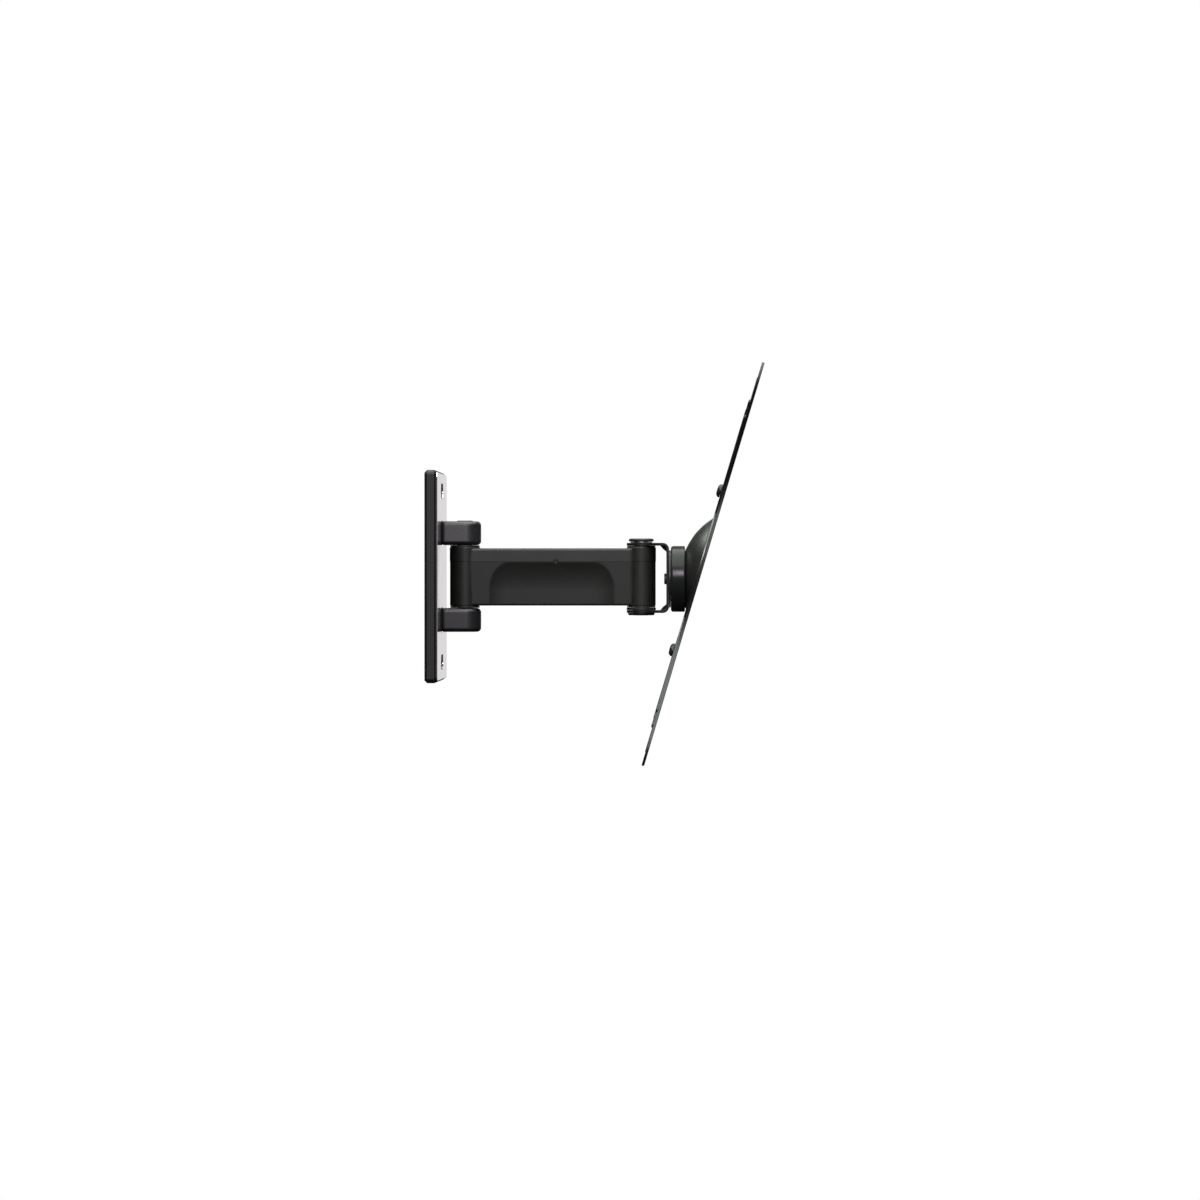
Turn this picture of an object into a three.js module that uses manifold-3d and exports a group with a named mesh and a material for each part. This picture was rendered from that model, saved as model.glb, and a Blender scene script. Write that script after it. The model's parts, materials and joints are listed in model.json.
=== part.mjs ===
// Full motion wall mount for a flat television: wall bracket, one short swing arm, a bent strap yoke, and a
// mounting plate that tilts on a spherical dome. The dome's centre lies in front of the plate, inside the
// television, so the screen tilts about its own middle.
//
// Millimetres, +Z up. The origin is the centre of the wall plate's back face, the wall is the plane Y = 0,
// and the mount reaches away from the wall along -Y. "out" is a distance from the wall, so y = -out.

import * as THREE from 'three';
import { mergeVertices } from 'three/addons/utils/BufferGeometryUtils.js';
import Module from 'manifold-3d';

const wasm = await Module();
wasm.setup();

// ---------------------------------------------------------------- driving dimensions

// wall plate and its light face cover
const PLATE_WIDTH = 106;
const PLATE_HEIGHT = 112.7;
const PLATE_DEPTH = 6.7;
const PLATE_CORNER = 2.6;
const PLATE_EDGE_ROUND = 1.3;
const COVER_MARGIN = 1.2;
const COVER_POCKET = 0.8;
const COVER_PROUD = 0.2;
const COVER_EDGE = 0.15;
const WALL_SLOT_LENGTH = 24;
const WALL_SLOT_WIDTH = 8;
const WALL_SLOT_INSET = 10.35;

// hinge blocks and the pivot pin at the wall
const WALL_AXIS_OUT = 19.2;
const BLOCK_CHEEK = 0.5;
const BLOCK_HEIGHT = 12.8;
const BLOCK_EDGE_ROUND = 2.0;
const WALL_PIN_RADIUS = 4.0;
const WALL_PIN_CAP_LIP = 0.3;
const WALL_PIN_CAP_PROUD = 0.4;
const CLIP_BITE = 0.7;
const CLIP_REACH = 1.8;
const CLIP_POCKET_DEPTH = 1.9;
const CLIP_THICKNESS = 0.8;
const CLIP_HALF_OPENING = 0.45;
const PIN_TAIL = 0.5;
const BLOCK_SCREW_RADIUS = 2.0;
const BLOCK_SCREW_HEAD_RADIUS = 3.6;
const BLOCK_SCREW_SUNK = 0.3;
const BLOCK_SCREW_SHORT_OF_PIN = 2.7;
const BLOCK_SCREW_SPACING = 9;

// swing arm
const ARM_LENGTH = 94.8;
const ARM_TOP_INSET = 0.6;
const ARM_BOTTOM_INSET = 0.2;
const ARM_HALF_THICKNESS = 6.8;
const ARM_EDGE_ROUND = 0.7;
const BARREL_HALF_HEIGHT = 15.8;
const WALL_BARREL_RADIUS = 8.2;
const HEAD_BARREL_RADIUS = 7.9;
const BARREL_CHAMFER = 0.4;
const PARTING_BELOW_TOP = 7.1;
const PARTING_STEP = 0.15;
const SCOOP_FROM_WALL_AXIS = 13.2;
const SCOOP_FROM_HEAD_AXIS = 14.4;
const SCOOP_BELOW_PARTING = 0.5;
const SCOOP_DEPTH = 2.1;
const SCOOP_CORNER_WIDTH = 11;
const SCOOP_CORNER_HEIGHT = 15;

// bushes in the arm's barrels
const BUSH_WALL = 1.1;
const BUSH_LENGTH = 9;
const BUSH_FLANGE_INSET = 0.3;
const WALL_BUSH_FLANGE = 0.95;
const HEAD_BUSH_FLANGE = 0.7;

// yoke: a bent strap on the arm's far end
const STRAP_THICKNESS = 1.4;
const STRAP_REACH = 14.9;
const STRAP_TAB_INSET = 0.1;
const STRAP_HALF_WIDTH = 11;
const STRAP_SHOULDER = 4;
const STRAP_BEND = 3.3;
const DART_LEG = 4.6;
const DART_WIDTH = 5;

// pivot bolt through the yoke and the arm
const HEAD_BOLT_RADIUS = 3.9;
const HEAD_BOLT_CHAMFER = 0.5;
const HEAD_CAP_INSET = 1.2;
const HEAD_CAP_HEIGHT = 1.6;
const HEAD_CAP_EDGE = 0.4;
const HEX_SOCKET_FLATS = 5;
const HEX_SOCKET_DEPTH = 1.0;
const HEAD_WASHER_INSET = 2.0;
const HEAD_WASHER_THICKNESS = 0.6;
const LOWER_WASHER_INSET = 0.05;
const LOWER_WASHER_THICKNESS = 1.35;
const PIVOT_NUT_INSET = 0.7;
const PIVOT_NUT_HEIGHT = 1.2;
const PIVOT_NUT_CHAMFER = 0.6;

// disc, stud and the parts that clamp the dome
const HEAD_AXIS_Z = -1.25;
const STUD_RADIUS = 2.9;
const STUD_CHAMFER = 0.4;
const STUD_TAIL = 1.2;
const FRICTION_WASHER_RADIUS = 15.4;
const FRICTION_WASHER_THICKNESS = 0.8;
const DISC_RADIUS = 17.7;
const DISC_THICKNESS = 7.6;
const DISC_BACK_CHAMFER = 0.8;
const DISC_FRONT_CHAMFER = 1.4;
const DISC_SEAT_LIP = 2.02;
const SADDLE_RADIUS = 9;
const SADDLE_THICKNESS = 2.0;
const SPRING_RADIUS = 7;
const SPRING_THICKNESS = 0.5;
const SPRING_RISE = 0.35;
const LOCK_NUT_WALL = 2.1;
const LOCK_NUT_HEIGHT = 3.0;
const STUD_BEYOND_NUT = 0.4;

// dome and mounting plate, both about the tilt centre
const DOME_RADIUS = 38.2;
const DOME_WALL = 2.0;
const DOME_FLANGE_RADIUS = 37;
const DOME_FLANGE_THICKNESS = 0.9;
const DISC_TO_FLANGE = 0.06;
const DOME_SLOT_SIDE_PLAY = 0.4;
const DOME_SLOT_END_PLAY = 0.5;
const TILT_EACH_WAY_DEG = 16.65;
const EAR_RADIUS = 6;
const DOME_SCREW_X = 24;
const DOME_SCREW_UP = 40.7;
const DOME_SCREW_DOWN = -48.4;
const DOME_SCREW_RADIUS = 1.6;
const DOME_SCREW_HEAD_RADIUS = 3.2;
const DOME_SCREW_HEAD_HEIGHT = 2.3;
const DOME_SCREW_HEAD_SIDE = 0.9;
const DOME_SCREW_CROWN = 1.6;
const RECESS_REACH = 3.2;
const RECESS_WIDTH = 0.8;
const RECESS_DEPTH = 1.3;
const SCREEN_THICKNESS = 1.4;
const SCREEN_HUB_MARGIN = 0.98;
const SCREEN_HUB_FILLET = 25;
const SCREEN_ARM_HALF_WIDTH = 9;
const SCREEN_CENTRE_HOLE = 22;
const SCREEN_HOLE_RADIUS = 2.6;
const SCREEN_PATTERNS = [75, 100, 200];
const RIB_FROM_HUB = 2;
const RIB_FROM_TIP_HOLE = 21.6;
const RIB_INSET = 2.9;
const RIB_WIDTH = 2.6;
const RIB_HEIGHT = 1.0;
const RIB_EDGE = 0.3;

// clearances
const REST_GAP = 0.1;
const COVER_GAP = 0.25;
const RUNNING_GAP = 0.12;
const THREAD_GAP = 0.1;
const SEAT_GAP = 0.15;
const CUT_BEYOND = 1;

// facets of round shapes
const ROUND = 28;
const FINE = 44;
const SMALL = 20;
const ARC_STEPS = 4;

// ---------------------------------------------------------------- places worked out from the sizes

const REST_TILT = THREE.MathUtils.degToRad(TILT_EACH_WAY_DEG);

const COVER_FLOOR_OUT = PLATE_DEPTH - COVER_POCKET;
const WALL_SLOT_HEIGHT = PLATE_HEIGHT / 2 - WALL_SLOT_INSET;
const BUSH_FACE = BARREL_HALF_HEIGHT + REST_GAP / 2;
const BLOCK_HALF_WIDTH = WALL_BARREL_RADIUS + BLOCK_CHEEK;
const BLOCK_BOTTOM = BUSH_FACE + WALL_BUSH_FLANGE + REST_GAP;
const BLOCK_TOP = BLOCK_BOTTOM + BLOCK_HEIGHT;
const BLOCK_MIDDLE = BLOCK_BOTTOM + BLOCK_HEIGHT / 2;
const BLOCK_SCREW_END = WALL_AXIS_OUT - WALL_PIN_RADIUS - BLOCK_SCREW_SHORT_OF_PIN;
const CLIP_INNER = WALL_PIN_RADIUS - CLIP_BITE;
const CLIP_OUTER = WALL_PIN_RADIUS + CLIP_REACH;
const CLIP_TOP = -BLOCK_TOP + CLIP_POCKET_DEPTH - 1.5 * REST_GAP;

const HEAD_AXIS_OUT = WALL_AXIS_OUT + ARM_LENGTH;
const ARM_TOP = BARREL_HALF_HEIGHT - ARM_TOP_INSET;
const ARM_BOTTOM = ARM_BOTTOM_INSET - BARREL_HALF_HEIGHT;
const PARTING_HEIGHT = ARM_TOP - PARTING_BELOW_TOP;
const SCOOP_TOP = PARTING_HEIGHT - SCOOP_BELOW_PARTING;
const SCOOP_START_OUT = WALL_AXIS_OUT + SCOOP_FROM_WALL_AXIS;
const SCOOP_END_OUT = HEAD_AXIS_OUT - SCOOP_FROM_HEAD_AXIS;

const STRAP_TAB_RADIUS = HEAD_BARREL_RADIUS - STRAP_TAB_INSET;
const LOWER_WASHER_TOP = -BUSH_FACE - HEAD_BUSH_FLANGE - REST_GAP;
const YOKE_TOP = BUSH_FACE + HEAD_BUSH_FLANGE + REST_GAP + STRAP_THICKNESS;
const YOKE_BOTTOM = LOWER_WASHER_TOP - LOWER_WASHER_THICKNESS - REST_GAP - STRAP_THICKNESS;
const WEB_FRONT_OUT = HEAD_AXIS_OUT + STRAP_REACH;
const WEB_BACK_OUT = WEB_FRONT_OUT - STRAP_THICKNESS;
const HEAD_WASHER_BOTTOM = YOKE_TOP + REST_GAP;
const HEAD_CAP_BOTTOM = HEAD_WASHER_BOTTOM + HEAD_WASHER_THICKNESS + REST_GAP;
const PIVOT_NUT_BOTTOM = YOKE_BOTTOM - REST_GAP - PIVOT_NUT_HEIGHT;

// the dome's seat in the disc sets where the tilt centre is
const DISC_BACK_OUT = WEB_FRONT_OUT + FRICTION_WASHER_THICKNESS + 2 * REST_GAP;
const DISC_FRONT_OUT = DISC_BACK_OUT + DISC_THICKNESS;
const SEAT_RADIUS = DOME_RADIUS + SEAT_GAP;
const SEAT_MOUTH = DISC_RADIUS - DISC_SEAT_LIP;
const DISC_FRONT_DISTANCE = Math.sqrt(SEAT_RADIUS ** 2 - SEAT_MOUTH ** 2);
const TILT_CENTRE_OUT = DISC_FRONT_OUT + DISC_FRONT_DISTANCE;

// the plate stands just clear of the disc's rim when it is tilted all the way
const FLANGE_TOP = DISC_FRONT_DISTANCE * Math.cos(REST_TILT) - DISC_RADIUS * Math.sin(REST_TILT)
  - DISC_TO_FLANGE;
const FLANGE_UNDER = FLANGE_TOP - DOME_FLANGE_THICKNESS;
const PLATE_FACE_DISTANCE = FLANGE_UNDER - REST_GAP;
const PLATE_BACK_DISTANCE = PLATE_FACE_DISTANCE - SCREEN_THICKNESS;

const DOME_INNER_RADIUS = DOME_RADIUS - DOME_WALL;
const SADDLE_FACE_DISTANCE = DOME_INNER_RADIUS - SEAT_GAP - SADDLE_THICKNESS;
const SPRING_FACE_DISTANCE = SADDLE_FACE_DISTANCE - REST_GAP;
const NUT_FACE_DISTANCE = SPRING_FACE_DISTANCE - SPRING_THICKNESS - SPRING_RISE - REST_GAP;
const STUD_END_DISTANCE = NUT_FACE_DISTANCE - LOCK_NUT_HEIGHT - STUD_BEYOND_NUT;

const SCREEN_HUB_RADIUS = Math.hypot(DOME_SCREW_X, Math.max(DOME_SCREW_UP, -DOME_SCREW_DOWN)) + EAR_RADIUS
  + SCREEN_HUB_MARGIN;
const SCREEN_TIP_DISTANCE = Math.SQRT1_2 * Math.max(...SCREEN_PATTERNS);
const RIB_START = SCREEN_HUB_RADIUS + RIB_FROM_HUB;
const RIB_END = SCREEN_TIP_DISTANCE - RIB_FROM_TIP_HOLE;
const RIB_OFFSET = SCREEN_ARM_HALF_WIDTH - RIB_INSET;

// ---------------------------------------------------------------- solids from three.js shapes

/** A closed three.js geometry as a solid that can be joined and cut. */
function solid(geometry) {
  const bare = geometry.clone();
  bare.deleteAttribute('normal');
  bare.deleteAttribute('uv');
  const merged = mergeVertices(bare, 1e-4);
  return new wasm.Manifold(new wasm.Mesh({
    numProp: 3,
    vertProperties: new Float32Array(merged.attributes.position.array),
    triVerts: new Uint32Array(merged.index.array),
  }));
}

/** A solid back as a geometry with shared corners. */
function geometryOf(shape) {
  const mesh = shape.getMesh();
  const geometry = new THREE.BufferGeometry();
  geometry.setAttribute('position', new THREE.BufferAttribute(new Float32Array(mesh.vertProperties), 3));
  geometry.setIndex(new THREE.BufferAttribute(new Uint32Array(mesh.triVerts), 1));
  return geometry;
}

/** An outline extruded along +Z from z = bottom, with rounded or square edges. */
function prism(outline, bottom, height, edge = 0, steps = 2) {
  const geometry = new THREE.ExtrudeGeometry(outline, {
    depth: height - 2 * edge,
    bevelEnabled: edge > 0,
    bevelThickness: edge,
    bevelSize: edge,
    bevelOffset: -edge,
    bevelSegments: steps,
    curveSegments: ARC_STEPS,
  });
  geometry.translate(0, 0, bottom + edge);
  return geometry;
}

/** An outline drawn in X and Z, extruded away from the wall from out = back. */
function slab(outline, back, depth, edge = 0, steps = 2) {
  return prism(outline, back, depth, edge, steps).rotateX(Math.PI / 2);
}

/** An outline drawn in out and Z, extruded across X and centred on X = 0. */
function crosswise(outline, width) {
  return prism(outline, -width / 2, width).rotateX(Math.PI / 2).rotateZ(-Math.PI / 2);
}

/** A closed (radius, height) profile turned about the vertical axis at a given distance out. */
function turnedUpright(profile, out, facets = ROUND) {
  return turned(profile, facets).rotateX(Math.PI / 2).translate(0, -out, 0);
}

/** A closed (radius, y) profile turned about the Y axis. */
function turned(profile, facets = ROUND) {
  const points = profile.map(([radius, along]) => new THREE.Vector2(radius, along));
  if (THREE.ShapeUtils.area(points) < 0) {
    points.reverse();
  }
  points.push(points[0].clone());
  return new THREE.LatheGeometry(points, facets);
}

/** A ring profile between two radii and two heights; an inner radius of 0 makes it a full rod. */
function ring(inner, outer, low, high) {
  return [[inner, low], [outer, low], [outer, high], [inner, high]];
}

/** A rounded rectangle centred on the origin. */
function roundedRectangle(width, height, radius) {
  const x = width / 2 - radius;
  const y = height / 2 - radius;
  const outline = new THREE.Shape();
  outline.absarc(x, y, radius, 0, Math.PI / 2);
  outline.absarc(-x, y, radius, Math.PI / 2, Math.PI);
  outline.absarc(-x, -y, radius, Math.PI, 1.5 * Math.PI);
  outline.absarc(x, -y, radius, 1.5 * Math.PI, 2 * Math.PI);
  outline.closePath();
  return outline;
}

/** A slot shape: a bar along X with half-round ends. */
function obround(length, width) {
  const reach = (length - width) / 2;
  const outline = new THREE.Shape();
  outline.absarc(reach, 0, width / 2, -Math.PI / 2, Math.PI / 2);
  outline.absarc(-reach, 0, width / 2, Math.PI / 2, 1.5 * Math.PI);
  outline.closePath();
  return outline;
}

/** A regular polygon with many sides for a circle, or six for a nut. */
function polygon(radius, sides, x = 0, y = 0) {
  const points = [];
  for (let side = 0; side < sides; side += 1) {
    const angle = side * 2 * Math.PI / sides;
    points.push(new THREE.Vector2(x + radius * Math.cos(angle), y + radius * Math.sin(angle)));
  }
  return new THREE.Shape(points);
}

/** A regular hexagon with the given distance across its flats. */
function hexagon(flats) {
  return polygon(flats / Math.sqrt(3), 6);
}

/** A cutter for a cross recess that goes down from y = 0. */
function crossRecess(depth) {
  const bars = [[RECESS_REACH, RECESS_WIDTH], [RECESS_WIDTH, RECESS_REACH]].map(([x, z]) => solid(
    new THREE.BoxGeometry(x, depth + CUT_BEYOND, z).translate(0, (CUT_BEYOND - depth) / 2, 0),
  ));
  return bars[0].add(bars[1]);
}

// ---------------------------------------------------------------- materials

/** A plain material for one kind of finish. */
function finish(colour, roughness, metalness) {
  return () => new THREE.MeshStandardMaterial({ color: colour, roughness, metalness, flatShading: true });
}

const castBlack = finish(0x1c1b1d, 0.5, 0.1);
const coatBlack = finish(0x19191a, 0.55, 0.1);
const satinSilver = finish(0xc9c7c8, 0.3, 0.9);
const bushPlastic = finish(0x242426, 0.45, 0.0);
const zincSteel = finish(0x9a9a98, 0.35, 0.9);
const blackSteel = finish(0x141414, 0.35, 0.6);
const discBlack = finish(0x1b1e1c, 0.25, 0.2);

const SIDES = [['upper', 1], ['lower', -1]];
const mount = new THREE.Group();
const carriage = new THREE.Group();
const head = new THREE.Group();
carriage.position.set(0, -TILT_CENTRE_OUT, HEAD_AXIS_Z);
head.rotation.x = REST_TILT;
carriage.add(head);
mount.add(carriage);

/** Adds one named piece to a group. */
function piece(name, geometry, material, group = mount) {
  const mesh = new THREE.Mesh(geometry, material());
  mesh.name = name;
  group.add(mesh);
}

// ---------------------------------------------------------------- wall bracket

/** Centres of the four screws that hold the hinge blocks, as X and Z. */
function blockScrewPlaces() {
  const places = [];
  for (const [, side] of SIDES) {
    for (const hand of [-1, 1]) {
      places.push([hand * BLOCK_SCREW_SPACING / 2, side * BLOCK_MIDDLE]);
    }
  }
  return places;
}

/** Cutters for the two wall slots, long enough to pass plate and cover. */
function wallSlots() {
  return [-1, 1].map((side) => solid(
    slab(obround(WALL_SLOT_LENGTH, WALL_SLOT_WIDTH), -CUT_BEYOND, PLATE_DEPTH + COVER_PROUD + 2 * CUT_BEYOND)
      .translate(0, 0, side * WALL_SLOT_HEIGHT),
  ));
}

/** The plate on the wall: a shallow pocket for the cover, wall slots and countersinks behind. */
function wallPlate() {
  let plate = solid(slab(roundedRectangle(PLATE_WIDTH, PLATE_HEIGHT, PLATE_CORNER), 0, PLATE_DEPTH,
    PLATE_EDGE_ROUND));
  const inset = 2 * (COVER_MARGIN - COVER_GAP);
  const pocket = roundedRectangle(PLATE_WIDTH - inset, PLATE_HEIGHT - inset, PLATE_CORNER - COVER_MARGIN);
  plate = plate.subtract(solid(slab(pocket, COVER_FLOOR_OUT, COVER_POCKET + CUT_BEYOND)));
  for (const slot of wallSlots()) {
    plate = plate.subtract(slot);
  }
  const hole = BLOCK_SCREW_RADIUS + REST_GAP;
  const mouth = BLOCK_SCREW_HEAD_RADIUS + BLOCK_SCREW_SUNK + REST_GAP;
  const sink = [
    [0, CUT_BEYOND], [mouth + CUT_BEYOND, CUT_BEYOND], [hole, hole - mouth],
    [hole, -PLATE_DEPTH - CUT_BEYOND], [0, -PLATE_DEPTH - CUT_BEYOND],
  ];
  for (const [x, z] of blockScrewPlaces()) {
    plate = plate.subtract(solid(turned(sink, SMALL).translate(x, 0, z)));
  }
  return geometryOf(plate);
}

/** The light cover in the pocket, open at the wall slots and round the hinge blocks. */
function faceCover() {
  const inset = 2 * COVER_MARGIN;
  const outline = roundedRectangle(PLATE_WIDTH - inset, PLATE_HEIGHT - inset,
    PLATE_CORNER - COVER_MARGIN);
  let cover = solid(slab(outline, COVER_FLOOR_OUT, COVER_POCKET + COVER_PROUD, COVER_EDGE, 1));
  for (const slot of wallSlots()) {
    cover = cover.subtract(slot);
  }
  const window = roundedRectangle(2 * (BLOCK_HALF_WIDTH + COVER_GAP), BLOCK_HEIGHT + 2 * COVER_GAP,
    BLOCK_EDGE_ROUND / 2);
  for (const [, side] of SIDES) {
    const opening = slab(window, COVER_FLOOR_OUT - CUT_BEYOND, COVER_POCKET + COVER_PROUD + 2 * CUT_BEYOND);
    opening.translate(0, 0, side * BLOCK_MIDDLE);
    cover = cover.subtract(solid(opening));
  }
  return geometryOf(cover);
}

/** One hinge block, drawn for the upper side: flat cheeks and a nose round the pin. */
function hingeBlock(side) {
  const outline = new THREE.Shape();
  outline.moveTo(-BLOCK_HALF_WIDTH, -COVER_FLOOR_OUT);
  outline.lineTo(-BLOCK_HALF_WIDTH, -WALL_AXIS_OUT);
  outline.absarc(0, -WALL_AXIS_OUT, BLOCK_HALF_WIDTH, Math.PI, 2 * Math.PI);
  outline.lineTo(BLOCK_HALF_WIDTH, -COVER_FLOOR_OUT);
  outline.closePath();
  const bottom = side > 0 ? BLOCK_BOTTOM : -BLOCK_TOP;
  let block = solid(prism(outline, bottom, BLOCK_HEIGHT, BLOCK_EDGE_ROUND));
  const beyond = BLOCK_TOP + CUT_BEYOND;
  block = block.subtract(solid(turnedUpright(ring(0, WALL_PIN_RADIUS + RUNNING_GAP, -beyond, beyond),
    WALL_AXIS_OUT)));
  if (side < 0) {
    const pocket = ring(0, CLIP_OUTER + COVER_GAP, -beyond, -BLOCK_TOP + CLIP_POCKET_DEPTH);
    block = block.subtract(solid(turnedUpright(pocket, WALL_AXIS_OUT)));
  }
  const thread = BLOCK_SCREW_RADIUS + THREAD_GAP;
  const tapped = [[0, CUT_BEYOND], [thread, CUT_BEYOND], [thread, -BLOCK_SCREW_END - REST_GAP],
    [0, -BLOCK_SCREW_END - REST_GAP - thread / 2]];
  for (const [x, z] of blockScrewPlaces().filter(([, height]) => height * side > 0)) {
    block = block.subtract(solid(turned(tapped, SMALL).translate(x, 0, z)));
  }
  return geometryOf(block);
}

/** A countersunk screw from the back of the plate into a hinge block. */
function blockScrew() {
  const neck = -BLOCK_SCREW_SUNK - (BLOCK_SCREW_HEAD_RADIUS - BLOCK_SCREW_RADIUS);
  const screw = solid(turned([
    [0, -BLOCK_SCREW_SUNK], [BLOCK_SCREW_HEAD_RADIUS, -BLOCK_SCREW_SUNK], [BLOCK_SCREW_RADIUS, neck],
    [BLOCK_SCREW_RADIUS, -BLOCK_SCREW_END], [0, -BLOCK_SCREW_END],
  ], SMALL));
  return geometryOf(screw.subtract(crossRecess(RECESS_DEPTH).translate([0, -BLOCK_SCREW_SUNK, 0])));
}

/** The pin through both blocks: a low cap on top and a groove for the clip at the bottom. */
function wallPivotPin() {
  const chamfer = PIN_TAIL / 2;
  const groove = CLIP_INNER - 2 * THREAD_GAP;
  const grooveTop = CLIP_TOP + REST_GAP / 2;
  const grooveBottom = CLIP_TOP - CLIP_THICKNESS - REST_GAP / 2;
  const end = grooveBottom - PIN_TAIL;
  const cap = WALL_PIN_RADIUS + WALL_PIN_CAP_LIP;
  return turnedUpright([
    [0, end], [WALL_PIN_RADIUS - chamfer, end], [WALL_PIN_RADIUS, end + chamfer],
    [WALL_PIN_RADIUS, grooveBottom], [groove, grooveBottom], [groove, grooveTop],
    [WALL_PIN_RADIUS, grooveTop], [WALL_PIN_RADIUS, BLOCK_TOP],
    [cap, BLOCK_TOP], [cap - WALL_PIN_CAP_PROUD / 2, BLOCK_TOP + WALL_PIN_CAP_PROUD],
    [0, BLOCK_TOP + WALL_PIN_CAP_PROUD],
  ], WALL_AXIS_OUT);
}

/** The open ring that keeps the pin in, seated in the lower block's pocket. */
function pinClip() {
  const outer = [];
  const inner = [];
  for (let step = 0; step <= SMALL; step += 1) {
    const angle = THREE.MathUtils.lerp(CLIP_HALF_OPENING, 2 * Math.PI - CLIP_HALF_OPENING, step / SMALL);
    outer.push(new THREE.Vector2(CLIP_OUTER * Math.cos(angle), CLIP_OUTER * Math.sin(angle)));
    inner.push(new THREE.Vector2(CLIP_INNER * Math.cos(angle), CLIP_INNER * Math.sin(angle)));
  }
  const outline = new THREE.Shape([...outer, ...inner.reverse()]);
  return prism(outline, CLIP_TOP - CLIP_THICKNESS, CLIP_THICKNESS).translate(0, -WALL_AXIS_OUT, 0);
}

piece('wall_plate', wallPlate(), castBlack);
piece('face_cover', faceCover(), satinSilver);
for (const [name, side] of SIDES) {
  piece(`hinge_block_${name}`, hingeBlock(side), castBlack);
}
blockScrewPlaces().forEach(([x, z], index) => {
  piece(`block_screw_${index + 1}`, blockScrew().translate(x, 0, z), zincSteel);
});
piece('wall_pivot_pin', wallPivotPin(), blackSteel);
piece('pin_clip', pinClip(), blackSteel);

// ---------------------------------------------------------------- swing arm

/** Inner and outer radius of a bush that runs on a pin. */
function bushRadii(pin) {
  const inner = pin + RUNNING_GAP;
  return { inner, outer: inner + BUSH_WALL };
}

/** One barrel of the arm, stepped in a little below the parting height. */
function barrel(radius, out) {
  const low = radius - PARTING_STEP;
  return turnedUpright([
    [0, -BARREL_HALF_HEIGHT], [low - BARREL_CHAMFER, -BARREL_HALF_HEIGHT],
    [low, -BARREL_HALF_HEIGHT + BARREL_CHAMFER], [low, PARTING_HEIGHT], [radius, PARTING_HEIGHT],
    [radius, BARREL_HALF_HEIGHT - BARREL_CHAMFER], [radius - BARREL_CHAMFER, BARREL_HALF_HEIGHT],
    [0, BARREL_HALF_HEIGHT],
  ], out, FINE);
}

/** The arch cut into one side of the arm: it starts from nothing at its top edge and deepens below. */
function scoop(hand) {
  const bottom = ARM_BOTTOM - CUT_BEYOND;
  const springing = SCOOP_TOP - SCOOP_CORNER_HEIGHT;
  const arch = new THREE.Shape();
  arch.moveTo(SCOOP_START_OUT, bottom);
  arch.lineTo(SCOOP_START_OUT, springing);
  arch.absellipse(SCOOP_START_OUT + SCOOP_CORNER_WIDTH, springing, SCOOP_CORNER_WIDTH, SCOOP_CORNER_HEIGHT,
    Math.PI, Math.PI / 2, true);
  arch.absellipse(SCOOP_END_OUT - SCOOP_CORNER_WIDTH, springing, SCOOP_CORNER_WIDTH, SCOOP_CORNER_HEIGHT,
    Math.PI / 2, 0, true);
  arch.lineTo(SCOOP_END_OUT, bottom);
  arch.closePath();
  const outside = ARM_HALF_THICKNESS + CUT_BEYOND;
  const floor = ARM_HALF_THICKNESS - SCOOP_DEPTH;
  const section = new THREE.Shape([
    new THREE.Vector2(outside, bottom),
    new THREE.Vector2(outside, SCOOP_TOP),
    new THREE.Vector2(ARM_HALF_THICKNESS - PARTING_STEP, SCOOP_TOP),
    new THREE.Vector2(floor, springing),
    new THREE.Vector2(floor, bottom),
  ]);
  const depth = solid(slab(section, WALL_AXIS_OUT, ARM_LENGTH));
  const cut = solid(crosswise(arch, 2 * outside)).intersect(depth);
  return hand > 0 ? cut : cut.mirror([1, 0, 0]);
}

/** The flat bar between the barrels, a little thinner below the parting height. */
function armBar() {
  const outline = new THREE.Shape([
    new THREE.Vector2(-ARM_HALF_THICKNESS, -HEAD_AXIS_OUT),
    new THREE.Vector2(ARM_HALF_THICKNESS, -HEAD_AXIS_OUT),
    new THREE.Vector2(ARM_HALF_THICKNESS, -WALL_AXIS_OUT),
    new THREE.Vector2(-ARM_HALF_THICKNESS, -WALL_AXIS_OUT),
  ]);
  let bar = solid(prism(outline, ARM_BOTTOM, ARM_TOP - ARM_BOTTOM, ARM_EDGE_ROUND));
  const low = ARM_BOTTOM - CUT_BEYOND;
  for (const hand of [-1, 1]) {
    const shave = new THREE.BoxGeometry(2 * CUT_BEYOND, 2 * ARM_LENGTH, PARTING_HEIGHT - low);
    shave.translate(hand * (ARM_HALF_THICKNESS - PARTING_STEP + CUT_BEYOND),
      -(WALL_AXIS_OUT + HEAD_AXIS_OUT) / 2, (PARTING_HEIGHT + low) / 2);
    bar = bar.subtract(solid(shave)).subtract(scoop(hand));
  }
  return bar;
}

/** The cast arm: two barrels joined by the bar, bored for four bushes. */
function armBody() {
  let arm = armBar();
  arm = arm.add(solid(barrel(WALL_BARREL_RADIUS, WALL_AXIS_OUT)));
  arm = arm.add(solid(barrel(HEAD_BARREL_RADIUS, HEAD_AXIS_OUT)));
  const beyond = BARREL_HALF_HEIGHT + CUT_BEYOND;
  for (const [out, pin] of [[WALL_AXIS_OUT, WALL_PIN_RADIUS], [HEAD_AXIS_OUT, HEAD_BOLT_RADIUS]]) {
    const bore = bushRadii(pin).outer + THREAD_GAP;
    arm = arm.subtract(solid(turnedUpright(ring(0, bore, -beyond, beyond), out)));
  }
  return geometryOf(arm);
}

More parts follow.
